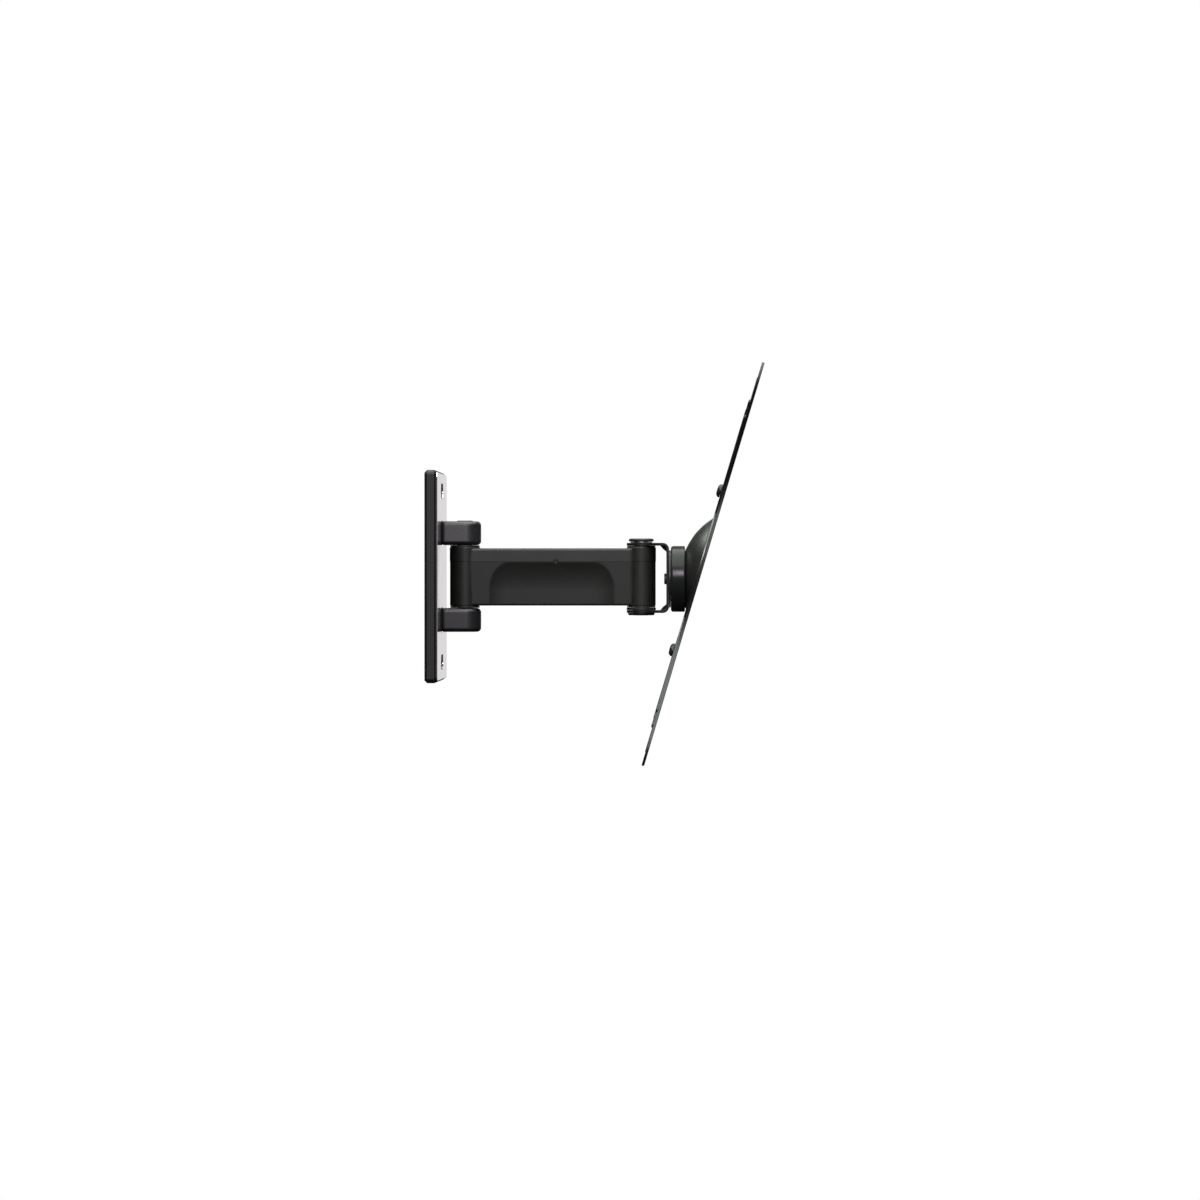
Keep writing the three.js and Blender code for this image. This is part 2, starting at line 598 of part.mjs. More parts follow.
/** A flanged bush: sleeve inside the barrel, flange on its end face. side is 1 for the top end. */
function bush(pin, barrelRadius, flange, out, side) {
  const { inner, outer } = bushRadii(pin);
  const flangeRadius = barrelRadius - BUSH_FLANGE_INSET;
  const inside = side * (BUSH_FACE - BUSH_LENGTH);
  const face = side * BUSH_FACE;
  const end = side * (BUSH_FACE + flange);
  return turnedUpright([
    [inner, inside], [outer, inside], [outer, face], [flangeRadius, face], [flangeRadius, end], [inner, end],
  ], out);
}

piece('arm_body', armBody(), castBlack);
for (const [name, side] of SIDES) {
  piece(`wall_bush_${name}`,
    bush(WALL_PIN_RADIUS, WALL_BARREL_RADIUS, WALL_BUSH_FLANGE, WALL_AXIS_OUT, side), bushPlastic);
  piece(`head_bush_${name}`,
    bush(HEAD_BOLT_RADIUS, HEAD_BARREL_RADIUS, HEAD_BUSH_FLANGE, HEAD_AXIS_OUT, side), bushPlastic);
}

// ---------------------------------------------------------------- yoke and its pivot bolt

/** The strap seen from the side: two tabs and a web, with round bends. */
function strapSection() {
  const back = HEAD_AXIS_OUT - STRAP_TAB_RADIUS - CUT_BEYOND;
  const inner = STRAP_BEND - STRAP_THICKNESS;
  const top = YOKE_TOP - STRAP_BEND;
  const low = YOKE_BOTTOM + STRAP_BEND;
  const bend = WEB_FRONT_OUT - STRAP_BEND;
  const section = new THREE.Shape();
  section.moveTo(back, YOKE_BOTTOM);
  section.absarc(bend, low, STRAP_BEND, -Math.PI / 2, 0, false);
  section.absarc(bend, top, STRAP_BEND, 0, Math.PI / 2, false);
  section.lineTo(back, YOKE_TOP);
  section.lineTo(back, YOKE_TOP - STRAP_THICKNESS);
  section.absarc(bend, top, inner, Math.PI / 2, 0, true);
  section.absarc(bend, low, inner, 0, -Math.PI / 2, true);
  section.lineTo(back, YOKE_BOTTOM + STRAP_THICKNESS);
  section.closePath();
  return section;
}

/** The strap seen from above: a round tab on the pivot, widening to the web. */
function strapPlan() {
  const flare = Math.atan2(STRAP_HALF_WIDTH - STRAP_TAB_RADIUS, STRAP_REACH);
  const tangentX = STRAP_TAB_RADIUS * Math.cos(flare);
  const tangentY = -HEAD_AXIS_OUT + STRAP_TAB_RADIUS * Math.sin(flare);
  const shoulder = -WEB_FRONT_OUT + STRAP_SHOULDER;
  const front = -WEB_FRONT_OUT - CUT_BEYOND;
  const plan = new THREE.Shape();
  plan.moveTo(tangentX, tangentY);
  plan.absarc(0, -HEAD_AXIS_OUT, STRAP_TAB_RADIUS, flare, Math.PI - flare, false);
  plan.lineTo(-tangentX, tangentY);
  plan.lineTo(-STRAP_HALF_WIDTH, shoulder);
  plan.lineTo(-STRAP_HALF_WIDTH, front);
  plan.lineTo(STRAP_HALF_WIDTH, front);
  plan.lineTo(STRAP_HALF_WIDTH, shoulder);
  plan.closePath();
  return plan;
}

/** The pressed dart that stiffens one bend of the strap, on its inner side. side is 1 for the top bend. */
function dart(side) {
  const tab = side > 0 ? YOKE_TOP : YOKE_BOTTOM;
  const face = tab - side * STRAP_THICKNESS / 2;
  const web = WEB_FRONT_OUT - STRAP_THICKNESS / 2;
  const leg = DART_LEG + STRAP_THICKNESS / 2;
  const outline = new THREE.Shape([
    new THREE.Vector2(web, face),
    new THREE.Vector2(web - leg, face),
    new THREE.Vector2(web, face - side * leg),
  ]);
  return solid(crosswise(outline, DART_WIDTH));
}

/** The bent strap, drilled for the pivot bolt and for the stud. */
function yoke() {
  const low = YOKE_BOTTOM - CUT_BEYOND;
  const high = YOKE_TOP + CUT_BEYOND;
  let strap = solid(crosswise(strapSection(), 4 * STRAP_HALF_WIDTH));
  strap = strap.intersect(solid(prism(strapPlan(), low, high - low)));
  strap = strap.add(dart(1)).add(dart(-1));
  const boltHole = ring(0, HEAD_BOLT_RADIUS + RUNNING_GAP, low, high);
  strap = strap.subtract(solid(turnedUpright(boltHole, HEAD_AXIS_OUT)));
  const studHole = turned(ring(0, STUD_RADIUS + THREAD_GAP, -WEB_FRONT_OUT - CUT_BEYOND,
    -WEB_BACK_OUT + CUT_BEYOND), SMALL);
  return geometryOf(strap.subtract(solid(studHole.translate(0, 0, HEAD_AXIS_Z))));
}

/** The pivot bolt with its low round cap and hexagon socket. */
function headPivotBolt() {
  const radius = HEAD_BARREL_RADIUS - HEAD_CAP_INSET;
  const top = HEAD_CAP_BOTTOM + HEAD_CAP_HEIGHT;
  const end = PIVOT_NUT_BOTTOM - REST_GAP;
  const bolt = solid(turnedUpright([
    [0, end], [HEAD_BOLT_RADIUS - HEAD_BOLT_CHAMFER, end], [HEAD_BOLT_RADIUS, end + HEAD_BOLT_CHAMFER],
    [HEAD_BOLT_RADIUS, HEAD_CAP_BOTTOM], [radius - HEAD_CAP_EDGE, HEAD_CAP_BOTTOM],
    [radius, HEAD_CAP_BOTTOM + HEAD_CAP_EDGE], [radius, top - HEAD_CAP_EDGE], [radius - HEAD_CAP_EDGE, top],
    [0, top],
  ], HEAD_AXIS_OUT));
  const socket = prism(hexagon(HEX_SOCKET_FLATS), top - HEX_SOCKET_DEPTH, HEX_SOCKET_DEPTH + CUT_BEYOND);
  return geometryOf(bolt.subtract(solid(socket.translate(0, -HEAD_AXIS_OUT, 0))));
}

/** A plain washer on the pivot bolt, from its lowest height upwards. */
function boltWasher(radius, low, thickness) {
  return turnedUpright(ring(HEAD_BOLT_RADIUS + RUNNING_GAP, radius, low, low + thickness), HEAD_AXIS_OUT);
}

/** The thin round nut under the yoke, chamfered below. */
function pivotNut() {
  const top = PIVOT_NUT_BOTTOM + PIVOT_NUT_HEIGHT;
  const inner = HEAD_BOLT_RADIUS + THREAD_GAP;
  const outer = HEAD_BARREL_RADIUS - PIVOT_NUT_INSET;
  return turnedUpright([
    [inner, PIVOT_NUT_BOTTOM], [outer - PIVOT_NUT_CHAMFER, PIVOT_NUT_BOTTOM],
    [outer, PIVOT_NUT_BOTTOM + PIVOT_NUT_CHAMFER], [outer, top], [inner, top],
  ], HEAD_AXIS_OUT);
}

piece('yoke', yoke(), coatBlack);
piece('head_pivot_bolt', headPivotBolt(), blackSteel);
piece('head_washer', boltWasher(HEAD_BARREL_RADIUS - HEAD_WASHER_INSET, HEAD_WASHER_BOTTOM,
  HEAD_WASHER_THICKNESS), zincSteel);
piece('head_lower_washer', boltWasher(HEAD_BARREL_RADIUS - LOWER_WASHER_INSET,
  LOWER_WASHER_TOP - LOWER_WASHER_THICKNESS, LOWER_WASHER_THICKNESS), bushPlastic);
piece('head_pivot_nut', pivotNut(), blackSteel);

// ---------------------------------------------------------------- disc, stud and clamp

/** Points of an arc about the tilt centre, from one radius off the axis to another. */
function arcAbout(radius, from, to, steps) {
  const points = [];
  for (let step = 0; step <= steps; step += 1) {
    const angle = THREE.MathUtils.lerp(Math.asin(from / radius), Math.asin(to / radius), step / steps);
    points.push([radius * Math.sin(angle), radius * Math.cos(angle)]);
  }
  return points;
}

const toCentre = (out) => TILT_CENTRE_OUT - out;

/** The stud through yoke, disc, dome and clamp, with a small riveted tail. */
function tiltStud() {
  const tail = toCentre(WEB_BACK_OUT) + STUD_TAIL;
  return turned([
    [0, STUD_END_DISTANCE], [STUD_RADIUS - STUD_CHAMFER, STUD_END_DISTANCE],
    [STUD_RADIUS, STUD_END_DISTANCE + STUD_CHAMFER], [STUD_RADIUS, tail - STUD_CHAMFER],
    [STUD_RADIUS - STUD_CHAMFER, tail], [0, tail],
  ], SMALL);
}

/** The friction washer between the yoke's web and the disc. */
function frictionWasher() {
  const back = toCentre(WEB_FRONT_OUT) - REST_GAP;
  const front = back - FRICTION_WASHER_THICKNESS;
  return turned(ring(STUD_RADIUS + RUNNING_GAP, FRICTION_WASHER_RADIUS, front, back));
}

/** The round disc with a hollow seat that the dome slides on. */
function swivelDisc() {
  const back = toCentre(DISC_BACK_OUT);
  const front = DISC_FRONT_DISTANCE;
  const bore = STUD_RADIUS + RUNNING_GAP;
  return turned([
    ...arcAbout(SEAT_RADIUS, bore, SEAT_MOUTH, 6),
    [DISC_RADIUS - DISC_FRONT_CHAMFER, front], [DISC_RADIUS, front + DISC_FRONT_CHAMFER],
    [DISC_RADIUS, back - DISC_BACK_CHAMFER], [DISC_RADIUS - DISC_BACK_CHAMFER, back], [bore, back],
  ], FINE);
}

/** The saddle inside the dome: round outside, flat towards the nut. */
function saddleWasher() {
  const bore = STUD_RADIUS + RUNNING_GAP;
  return turned([
    ...arcAbout(DOME_INNER_RADIUS - SEAT_GAP, bore, SADDLE_RADIUS, 5),
    [SADDLE_RADIUS, SADDLE_FACE_DISTANCE], [bore, SADDLE_FACE_DISTANCE],
  ]);
}

/** The conical spring washer that keeps the clamp tight. */
function discSpring() {
  const inner = STUD_RADIUS + RUNNING_GAP;
  const far = SPRING_FACE_DISTANCE;
  return turned([
    [SPRING_RADIUS, far], [SPRING_RADIUS, far - SPRING_THICKNESS],
    [inner, far - SPRING_THICKNESS - SPRING_RISE], [inner, far - SPRING_RISE],
  ]);
}

/** The thin hexagon lock nut on the stud. */
function lockNut() {
  const flats = 2 * (STUD_RADIUS + LOCK_NUT_WALL);
  const nut = solid(prism(hexagon(flats), 0, LOCK_NUT_HEIGHT).rotateX(-Math.PI / 2));
  const bore = ring(0, STUD_RADIUS + THREAD_GAP, -CUT_BEYOND, LOCK_NUT_HEIGHT + CUT_BEYOND);
  const drilled = geometryOf(nut.subtract(solid(turned(bore, SMALL))));
  return drilled.translate(0, NUT_FACE_DISTANCE - LOCK_NUT_HEIGHT, 0);
}

piece('tilt_stud', tiltStud(), blackSteel, carriage);
piece('friction_washer', frictionWasher(), bushPlastic, carriage);
piece('swivel_disc', swivelDisc(), discBlack, carriage);
piece('saddle_washer', saddleWasher(), zincSteel, carriage);
piece('disc_spring', discSpring(), zincSteel, carriage);
piece('lock_nut', lockNut(), zincSteel, carriage);

// ---------------------------------------------------------------- dome and mounting plate

const DOME_SCREWS = [
  [-DOME_SCREW_X, DOME_SCREW_UP], [DOME_SCREW_X, DOME_SCREW_UP],
  [-DOME_SCREW_X, DOME_SCREW_DOWN], [DOME_SCREW_X, DOME_SCREW_DOWN],
];

/** A slab whose far side from the wall is the given distance from the tilt centre. */
function headSlab(outline, distance, thickness, edge = 0, steps = 1) {
  return slab(outline, -distance - thickness, thickness, edge, steps);
}

/** The hollow dome with its thin round flange, four ears and the slot that the stud slides in. */
function tiltDome() {
  const footOuter = Math.sqrt(DOME_RADIUS ** 2 - FLANGE_TOP ** 2);
  const footInner = Math.sqrt(DOME_INNER_RADIUS ** 2 - FLANGE_UNDER ** 2);
  let dome = solid(turned([
    ...arcAbout(DOME_RADIUS, 0, footOuter, 8), [DOME_FLANGE_RADIUS, FLANGE_TOP],
    [DOME_FLANGE_RADIUS, FLANGE_UNDER], ...arcAbout(DOME_INNER_RADIUS, 0, footInner, 6).reverse(),
  ], FINE));
  for (const [x, z] of DOME_SCREWS) {
    const end = Math.hypot(x, z) + EAR_RADIUS;
    const length = end - DOME_FLANGE_RADIUS + EAR_RADIUS;
    const ear = headSlab(obround(length, 2 * EAR_RADIUS), FLANGE_UNDER, DOME_FLANGE_THICKNESS);
    ear.translate(end - length / 2, 0, 0);
    ear.rotateY(-Math.atan2(z, x));
    dome = dome.add(solid(ear)).subtract(domeScrewHole(x, z));
  }
  const halfLength = DOME_RADIUS * Math.sin(REST_TILT) + STUD_RADIUS + DOME_SLOT_END_PLAY;
  const width = 2 * (STUD_RADIUS + DOME_SLOT_SIDE_PLAY);
  const slot = headSlab(obround(2 * halfLength, width), PLATE_FACE_DISTANCE, DOME_RADIUS);
  return geometryOf(dome.subtract(solid(slot.rotateY(Math.PI / 2))));
}

/** The drill for one dome screw. */
function domeScrewHole(x, z) {
  const hole = ring(0, DOME_SCREW_RADIUS + THREAD_GAP, PLATE_BACK_DISTANCE - CUT_BEYOND,
    FLANGE_TOP + CUT_BEYOND);
  return solid(turned(hole, SMALL).translate(x, 0, z));
}

/** A pan-head screw that holds the dome to the plate, cross recessed. */
function domeScrew() {
  const seat = FLANGE_TOP + REST_GAP;
  const tip = PLATE_BACK_DISTANCE + REST_GAP;
  const top = seat + DOME_SCREW_HEAD_HEIGHT;
  const screw = solid(turned([
    [0, tip], [DOME_SCREW_RADIUS, tip], [DOME_SCREW_RADIUS, seat], [DOME_SCREW_HEAD_RADIUS, seat],
    [DOME_SCREW_HEAD_RADIUS, seat + DOME_SCREW_HEAD_SIDE], [DOME_SCREW_HEAD_RADIUS - DOME_SCREW_CROWN, top],
    [0, top],
  ], SMALL));
  return geometryOf(screw.subtract(crossRecess(RECESS_DEPTH).translate([0, top, 0])));
}

/** The plate's outline: a round hub and four diagonal arms, with fillets between them. */
function screenOutline() {
  const half = SCREEN_ARM_HALF_WIDTH;
  const centreDistance = SCREEN_HUB_RADIUS + SCREEN_HUB_FILLET;
  const filletAlong = Math.sqrt(centreDistance ** 2 - (half + SCREEN_HUB_FILLET) ** 2);
  const filletAngle = Math.atan2(half + SCREEN_HUB_FILLET, filletAlong);
  const outline = new THREE.Shape();
  for (let arm = 0; arm < 4; arm += 1) {
    const heading = Math.PI / 4 + arm * Math.PI / 2;
    const along = new THREE.Vector2(Math.cos(heading), Math.sin(heading));
    const across = new THREE.Vector2(-along.y, along.x);
    const place = (a, c) => new THREE.Vector2().addScaledVector(along, a).addScaledVector(across, c);
    const before = place(filletAlong, -half - SCREEN_HUB_FILLET);
    const after = place(filletAlong, half + SCREEN_HUB_FILLET);
    const tip = place(SCREEN_TIP_DISTANCE, 0);
    outline.absarc(before.x, before.y, SCREEN_HUB_FILLET, heading - filletAngle + Math.PI,
      heading + Math.PI / 2, true);
    outline.absarc(tip.x, tip.y, half, heading - Math.PI / 2, heading + Math.PI / 2, false);
    outline.absarc(after.x, after.y, SCREEN_HUB_FILLET, heading - Math.PI / 2,
      heading + filletAngle - Math.PI, true);
    outline.absarc(0, 0, SCREEN_HUB_RADIUS,
      heading + filletAngle, heading + Math.PI / 2 - filletAngle, false);
  }
  outline.closePath();
  return outline;
}

/** The mounting plate: ribs along its arms, a centre hole, and square hole patterns for the screen. */
function screenPlate() {
  let plate = solid(headSlab(screenOutline(), PLATE_BACK_DISTANCE, SCREEN_THICKNESS));
  const below = PLATE_BACK_DISTANCE - CUT_BEYOND;
  const through = SCREEN_THICKNESS + RIB_HEIGHT + 2 * CUT_BEYOND;
  const rib = obround(RIB_END - RIB_START, RIB_WIDTH);
  const root = SCREEN_THICKNESS / 2;
  for (let arm = 0; arm < 4; arm += 1) {
    for (const hand of [-1, 1]) {
      const bead = headSlab(rib, PLATE_BACK_DISTANCE + root, root + RIB_HEIGHT, RIB_EDGE);
      bead.translate((RIB_START + RIB_END) / 2, 0, hand * RIB_OFFSET);
      bead.rotateY(Math.PI / 4 + arm * Math.PI / 2);
      plate = plate.add(solid(bead));
    }
  }
  plate = plate.subtract(solid(headSlab(polygon(SCREEN_CENTRE_HOLE, FINE), below, through)));
  for (const pattern of SCREEN_PATTERNS) {
    for (const [x, z] of [[-1, -1], [-1, 1], [1, -1], [1, 1]]) {
      const hole = polygon(SCREEN_HOLE_RADIUS, SMALL, x * pattern / 2, z * pattern / 2);
      plate = plate.subtract(solid(headSlab(hole, below, through)));
    }
  }
  for (const [x, z] of DOME_SCREWS) {
    plate = plate.subtract(domeScrewHole(x, z));
  }
  return geometryOf(plate);
}

piece('tilt_dome', tiltDome(), coatBlack, head);
DOME_SCREWS.forEach(([x, z], index) => {
  piece(`dome_screw_${index + 1}`, domeScrew().translate(x, 0, z), blackSteel, head);
});
piece('screen_plate', screenPlate(), coatBlack, head);

export default mount;
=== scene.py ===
# %% [markdown]
# # A full motion wall mount for a television
#
# A wall bracket, one short cast arm, a bent steel yoke and a cross-shaped plate that tilts on a dome.
# The engineering model gives every piece its place and size. This lesson gives every piece the surface
# that the real one has: rounded edges, cast scoops, pressed darts, turned grooves, powder coat.

# %% Load the frame
import bpy
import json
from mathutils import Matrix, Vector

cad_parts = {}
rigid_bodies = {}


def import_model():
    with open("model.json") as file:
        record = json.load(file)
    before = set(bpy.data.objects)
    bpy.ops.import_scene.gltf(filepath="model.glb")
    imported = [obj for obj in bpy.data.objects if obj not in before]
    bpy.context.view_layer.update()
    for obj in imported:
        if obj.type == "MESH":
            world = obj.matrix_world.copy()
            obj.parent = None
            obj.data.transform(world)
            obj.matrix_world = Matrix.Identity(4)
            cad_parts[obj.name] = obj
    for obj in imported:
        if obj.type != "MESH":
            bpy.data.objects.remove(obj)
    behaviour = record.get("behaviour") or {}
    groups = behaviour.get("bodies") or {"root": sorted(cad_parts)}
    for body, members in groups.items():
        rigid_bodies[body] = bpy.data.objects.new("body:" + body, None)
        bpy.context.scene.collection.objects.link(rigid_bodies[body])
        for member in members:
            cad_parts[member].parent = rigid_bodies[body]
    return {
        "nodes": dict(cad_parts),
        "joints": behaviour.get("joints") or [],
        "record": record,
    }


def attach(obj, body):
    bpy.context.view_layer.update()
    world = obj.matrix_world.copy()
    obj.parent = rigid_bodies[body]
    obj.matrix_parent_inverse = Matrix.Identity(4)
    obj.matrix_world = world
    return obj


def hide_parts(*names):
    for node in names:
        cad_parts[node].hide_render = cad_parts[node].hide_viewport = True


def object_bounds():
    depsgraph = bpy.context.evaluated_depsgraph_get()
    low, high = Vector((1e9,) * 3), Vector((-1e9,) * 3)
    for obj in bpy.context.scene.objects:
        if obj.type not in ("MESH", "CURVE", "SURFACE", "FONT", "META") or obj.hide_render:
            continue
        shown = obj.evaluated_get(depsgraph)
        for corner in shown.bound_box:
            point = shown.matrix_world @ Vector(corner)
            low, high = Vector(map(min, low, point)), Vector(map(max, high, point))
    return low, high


for leftover in list(bpy.data.objects):
    bpy.data.objects.remove(leftover)
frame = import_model()
CAD_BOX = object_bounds()

# %% [markdown]
# ## Places that everything else is measured from
#
# The joints say where the pivots are, and the screen mount's axis says how far the plate leans at rest.
# Three frames follow from them: upright at a pivot, along the tilt stud, and square to the leaning
# plate. A round piece is drawn about the Z axis of its frame, so it needs no other placing.

# %% Pivots and frames
import json
import math

import bmesh
from mathutils import Matrix, Vector

MM = 0.001
joints = {joint["name"]: joint for joint in frame["joints"]}
mounts = {mount["name"]: mount for mount in frame["record"]["mounts"]}
WALL_PIVOT = Vector(joints["arm_swivel"]["pos_m"])
HEAD_PIVOT = Vector(joints["head_swivel"]["pos_m"])
TILT_CENTRE = Vector(joints["head_tilt"]["pos_m"])
LEAN = math.acos(-mounts["screen_face"]["axis"][1])
ARM_LENGTH = (WALL_PIVOT - HEAD_PIVOT).length / MM

ALONG_Y = Matrix.Rotation(-math.pi / 2, 4, "X")
AT_WALL_PIVOT = Matrix.Translation(WALL_PIVOT)
AT_HEAD_PIVOT = Matrix.Translation(HEAD_PIVOT)
STUD_FRAME = Matrix.Translation(TILT_CENTRE) @ ALONG_Y
HEAD_FRAME = Matrix.Translation(TILT_CENTRE) @ Matrix.Rotation(LEAN, 4, "X") @ ALONG_Y
print(f"arm {ARM_LENGTH:.1f} mm between pivots, plate leans {math.degrees(LEAN):.2f} degrees")


# %% Places and sizes in any frame
def moved(place, x, y, z=0.0):
    """A frame moved along its own axes, in millimetres."""
    return place @ Matrix.Translation((x * MM, y * MM, z * MM))


def nodes_named(start):
    """The engineering nodes whose names start alike, in order."""
    return sorted(node for node in frame["nodes"] if node.startswith(start))


def size_in(place, node):
    """Lowest and highest corner of a node, in millimetres, in a frame's own axes."""
    back = place.inverted()
    points = [back @ vertex.co for vertex in frame["nodes"][node].data.vertices]
    low = Vector(min(point[axis] for point in points) for axis in range(3))
    high = Vector(max(point[axis] for point in points) for axis in range(3))
    return low / MM, high / MM


# %% [markdown]
# ## Tools for round pieces
#
# Pins, bolts, washers, bushes and the big disc come off a lathe, so each is one profile turned about an
# axis. A real profile has no knife edges: the corners are broken with a small radius. `broken` puts an
# arc at each corner of a profile that asks for one, and `turned` sweeps it round.

# %% Profiles with broken corners, and the lathe
ARC_STEPS = 5
ARC_SHARE = 0.45  # the most of a side that a corner's arc may take
TURN_STEPS = 96
ON_AXIS = 1e-6  # millimetres
WELD = 1e-7  # metres


def broken(corners):
    """A profile of (radius, height, corner radius) with an arc at each corner that has one."""
    points = []
    count = len(corners)
    for index, (radius, height, corner) in enumerate(corners):
        here = Vector((radius, height))
        before = Vector(corners[index - 1][:2]) - here
        after = Vector(corners[(index + 1) % count][:2]) - here
        if corner <= 0 or before.length == 0 or after.length == 0:
            points.append(here)
            continue
        reach = min(corner, ARC_SHARE * before.length, ARC_SHARE * after.length)
        start = here + before.normalized() * reach
        end = here + after.normalized() * reach
        for step in range(ARC_STEPS + 1):
            t = step / ARC_STEPS
            points.append(start.lerp(here, t).lerp(here.lerp(end, t), t))
    return points


def turned(name, corners, place, segments=TURN_STEPS):
    """A closed profile in millimetres turned about the frame's Z axis."""
    points = broken(corners)
    mesh = bmesh.new()
    rings = []
    for radius, height in points:
        if radius < ON_AXIS:
            rings.append([mesh.verts.new((0, 0, height * MM))] * segments)
            continue
        ring = []
        for step in range(segments):
            angle = 2 * math.pi * step / segments
            x, y = radius * MM * math.cos(angle), radius * MM * math.sin(angle)
            ring.append(mesh.verts.new((x, y, height * MM)))
        rings.append(ring)
    for index, ring in enumerate(rings):
        other = rings[(index + 1) % len(rings)]
        for step in range(segments):
            turn = (step + 1) % segments
            corners_of_face = []
            for vertex in (ring[step], ring[turn], other[turn], other[step]):
                if vertex not in corners_of_face:
                    corners_of_face.append(vertex)
            if len(corners_of_face) > 2:
                mesh.faces.new(corners_of_face)
    return as_object(name, mesh, place)


def as_object(name, mesh, place=Matrix.Identity(4)):
    """A finished bmesh as an object whose vertices are in the row frame."""
    bmesh.ops.remove_doubles(mesh, verts=mesh.verts, dist=WELD)
    bmesh.ops.recalc_face_normals(mesh, faces=mesh.faces)
    mesh.transform(place)
    data = bpy.data.meshes.new(name)
    mesh.to_mesh(data)
    mesh.free()
    made = bpy.data.objects.new(name, data)
    bpy.context.scene.collection.objects.link(made)
    return made


def tube(inner, outer, low, high, corner=0.15):
    """Corners of a plain ring between two radii and two heights."""
    return [(inner, low, corner), (outer, low, corner), (outer, high, corner), (inner, high, corner)]


# %% [markdown]
# ## Tools for plates
#
# A plate is an outline with holes, cut from sheet or cast, with its edges eased over. Blender's 2D
# curves do this well: a filled curve with some depth and a bevel gives the plate and its eased edges at
# once, round every hole.

# %% Outlines
ROUND_STEPS = 64


def arc(centre, radius, start, end, steps=16):
    """Points of an arc, from one angle to another."""
    angles = [start + (end - start) * step / steps for step in range(steps + 1)]
    return [Vector((centre[0] + radius * math.cos(a), centre[1] + radius * math.sin(a))) for a in angles]


def circle(radius, centre=(0, 0), steps=ROUND_STEPS):
    """A full circle, without its last point twice."""
    return arc(centre, radius, 0, 2 * math.pi, steps)[:-1]


def rounded_rectangle(low, high, corner, steps=12):
    """A rectangle between two corners, with round corners."""
    quarter = math.pi / 2
    centres = [(high[0] - corner, high[1] - corner), (low[0] + corner, high[1] - corner),
               (low[0] + corner, low[1] + corner), (high[0] - corner, low[1] + corner)]
    points = []
    for index, centre in enumerate(centres):
        points += arc(centre, corner, index * quarter, (index + 1) * quarter, steps)
    return points


def obround(length, width, centre=(0, 0), heading=0.0):
    """A slot: a bar with half-round ends, turned by an angle."""
    reach = (length - width) / 2
    points = arc((reach, 0), width / 2, -math.pi / 2, math.pi / 2)
    points += arc((-reach, 0), width / 2, math.pi / 2, 1.5 * math.pi)
    turn = Matrix.Rotation(heading, 2)
    return [turn @ point + Vector(centre) for point in points]


def hexagon(flats):
    """A hexagon, given the distance across its flats."""
    return circle(flats / math.sqrt(3), steps=6)


# %% Plates from outlines
def finished_mesh(made):
    """The mesh that an object shows, with its modifiers applied or its curves filled."""
    return bpy.data.meshes.new_from_object(made.evaluated_get(bpy.context.evaluated_depsgraph_get()))


def plate(name, outlines, low, high, place, edge=0.0, steps=3):
    """Outlines (the first round the outside, the rest holes) as a solid between two heights of a frame."""
    curve = bpy.data.curves.new(name, "CURVE")
    curve.dimensions = "2D"
    curve.fill_mode = "BOTH"
    for outline in outlines:
        spline = curve.splines.new("POLY")
        spline.points.add(len(outline) - 1)
        for point, (x, y) in zip(spline.points, outline):
            point.co = (x * MM, y * MM, 0, 1)
        spline.use_cyclic_u = True
    curve.bevel_depth = edge * MM
    curve.bevel_resolution = steps
    curve.offset = -edge * MM
    curve.extrude = ((high - low) / 2 - edge) * MM
    drawn = bpy.data.objects.new(name, curve)
    bpy.context.scene.collection.objects.link(drawn)
    solid = bmesh.new()
    data = finished_mesh(drawn)
    solid.from_mesh(data)
    bpy.data.objects.remove(drawn)
    bpy.data.meshes.remove(data)
    return as_object(name, solid, moved(place, 0, 0, (low + high) / 2))


# %% [markdown]
# ## Joining and cutting
#
# A boolean modifier joins or cuts one piece with another, and is applied at once, so what is left is a
# plain mesh. The cutters carry their own small chamfers, so a bored hole gets the broken edge that a
# real countersunk hole has.

# %% Booleans
def combine(target, others, operation="DIFFERENCE"):
    """Cuts others out of target, or joins them to it, and removes them."""
    for other in others:
        modifier = target.modifiers.new("combine", "BOOLEAN")
        modifier.operation = operation
        modifier.solver = "EXACT"
        modifier.object = other
        data = finished_mesh(target)
        target.modifiers.clear()
        old = target.data
        target.data = data
        data.name = target.name
        bpy.data.meshes.remove(old)
        bpy.data.objects.remove(other)
    return target


PAST = 1  # how far a cutter reaches past what it cuts, in millimetres


def drill(radius, low, high, place, chamfer=0.25):
    """A cutter for a round hole whose two mouths, at low and high, get a small chamfer."""
    wide = radius + chamfer + PAST
    return turned("drill", [
        (0, low - PAST, 0), (wide, low - PAST, 0), (radius, low + chamfer, 0), (radius, high - chamfer, 0),
        (wide, high + PAST, 0), (0, high + PAST, 0),
    ], place, ROUND_STEPS)


# %% [markdown]
# ## Shader maths as Python
#
# A finish is a small program: this much noise here, a little rougher there. `Wire` wraps the output of a
# node so that plain arithmetic on wires adds Math nodes, and `Finish` holds one material with one method
# for every other node.

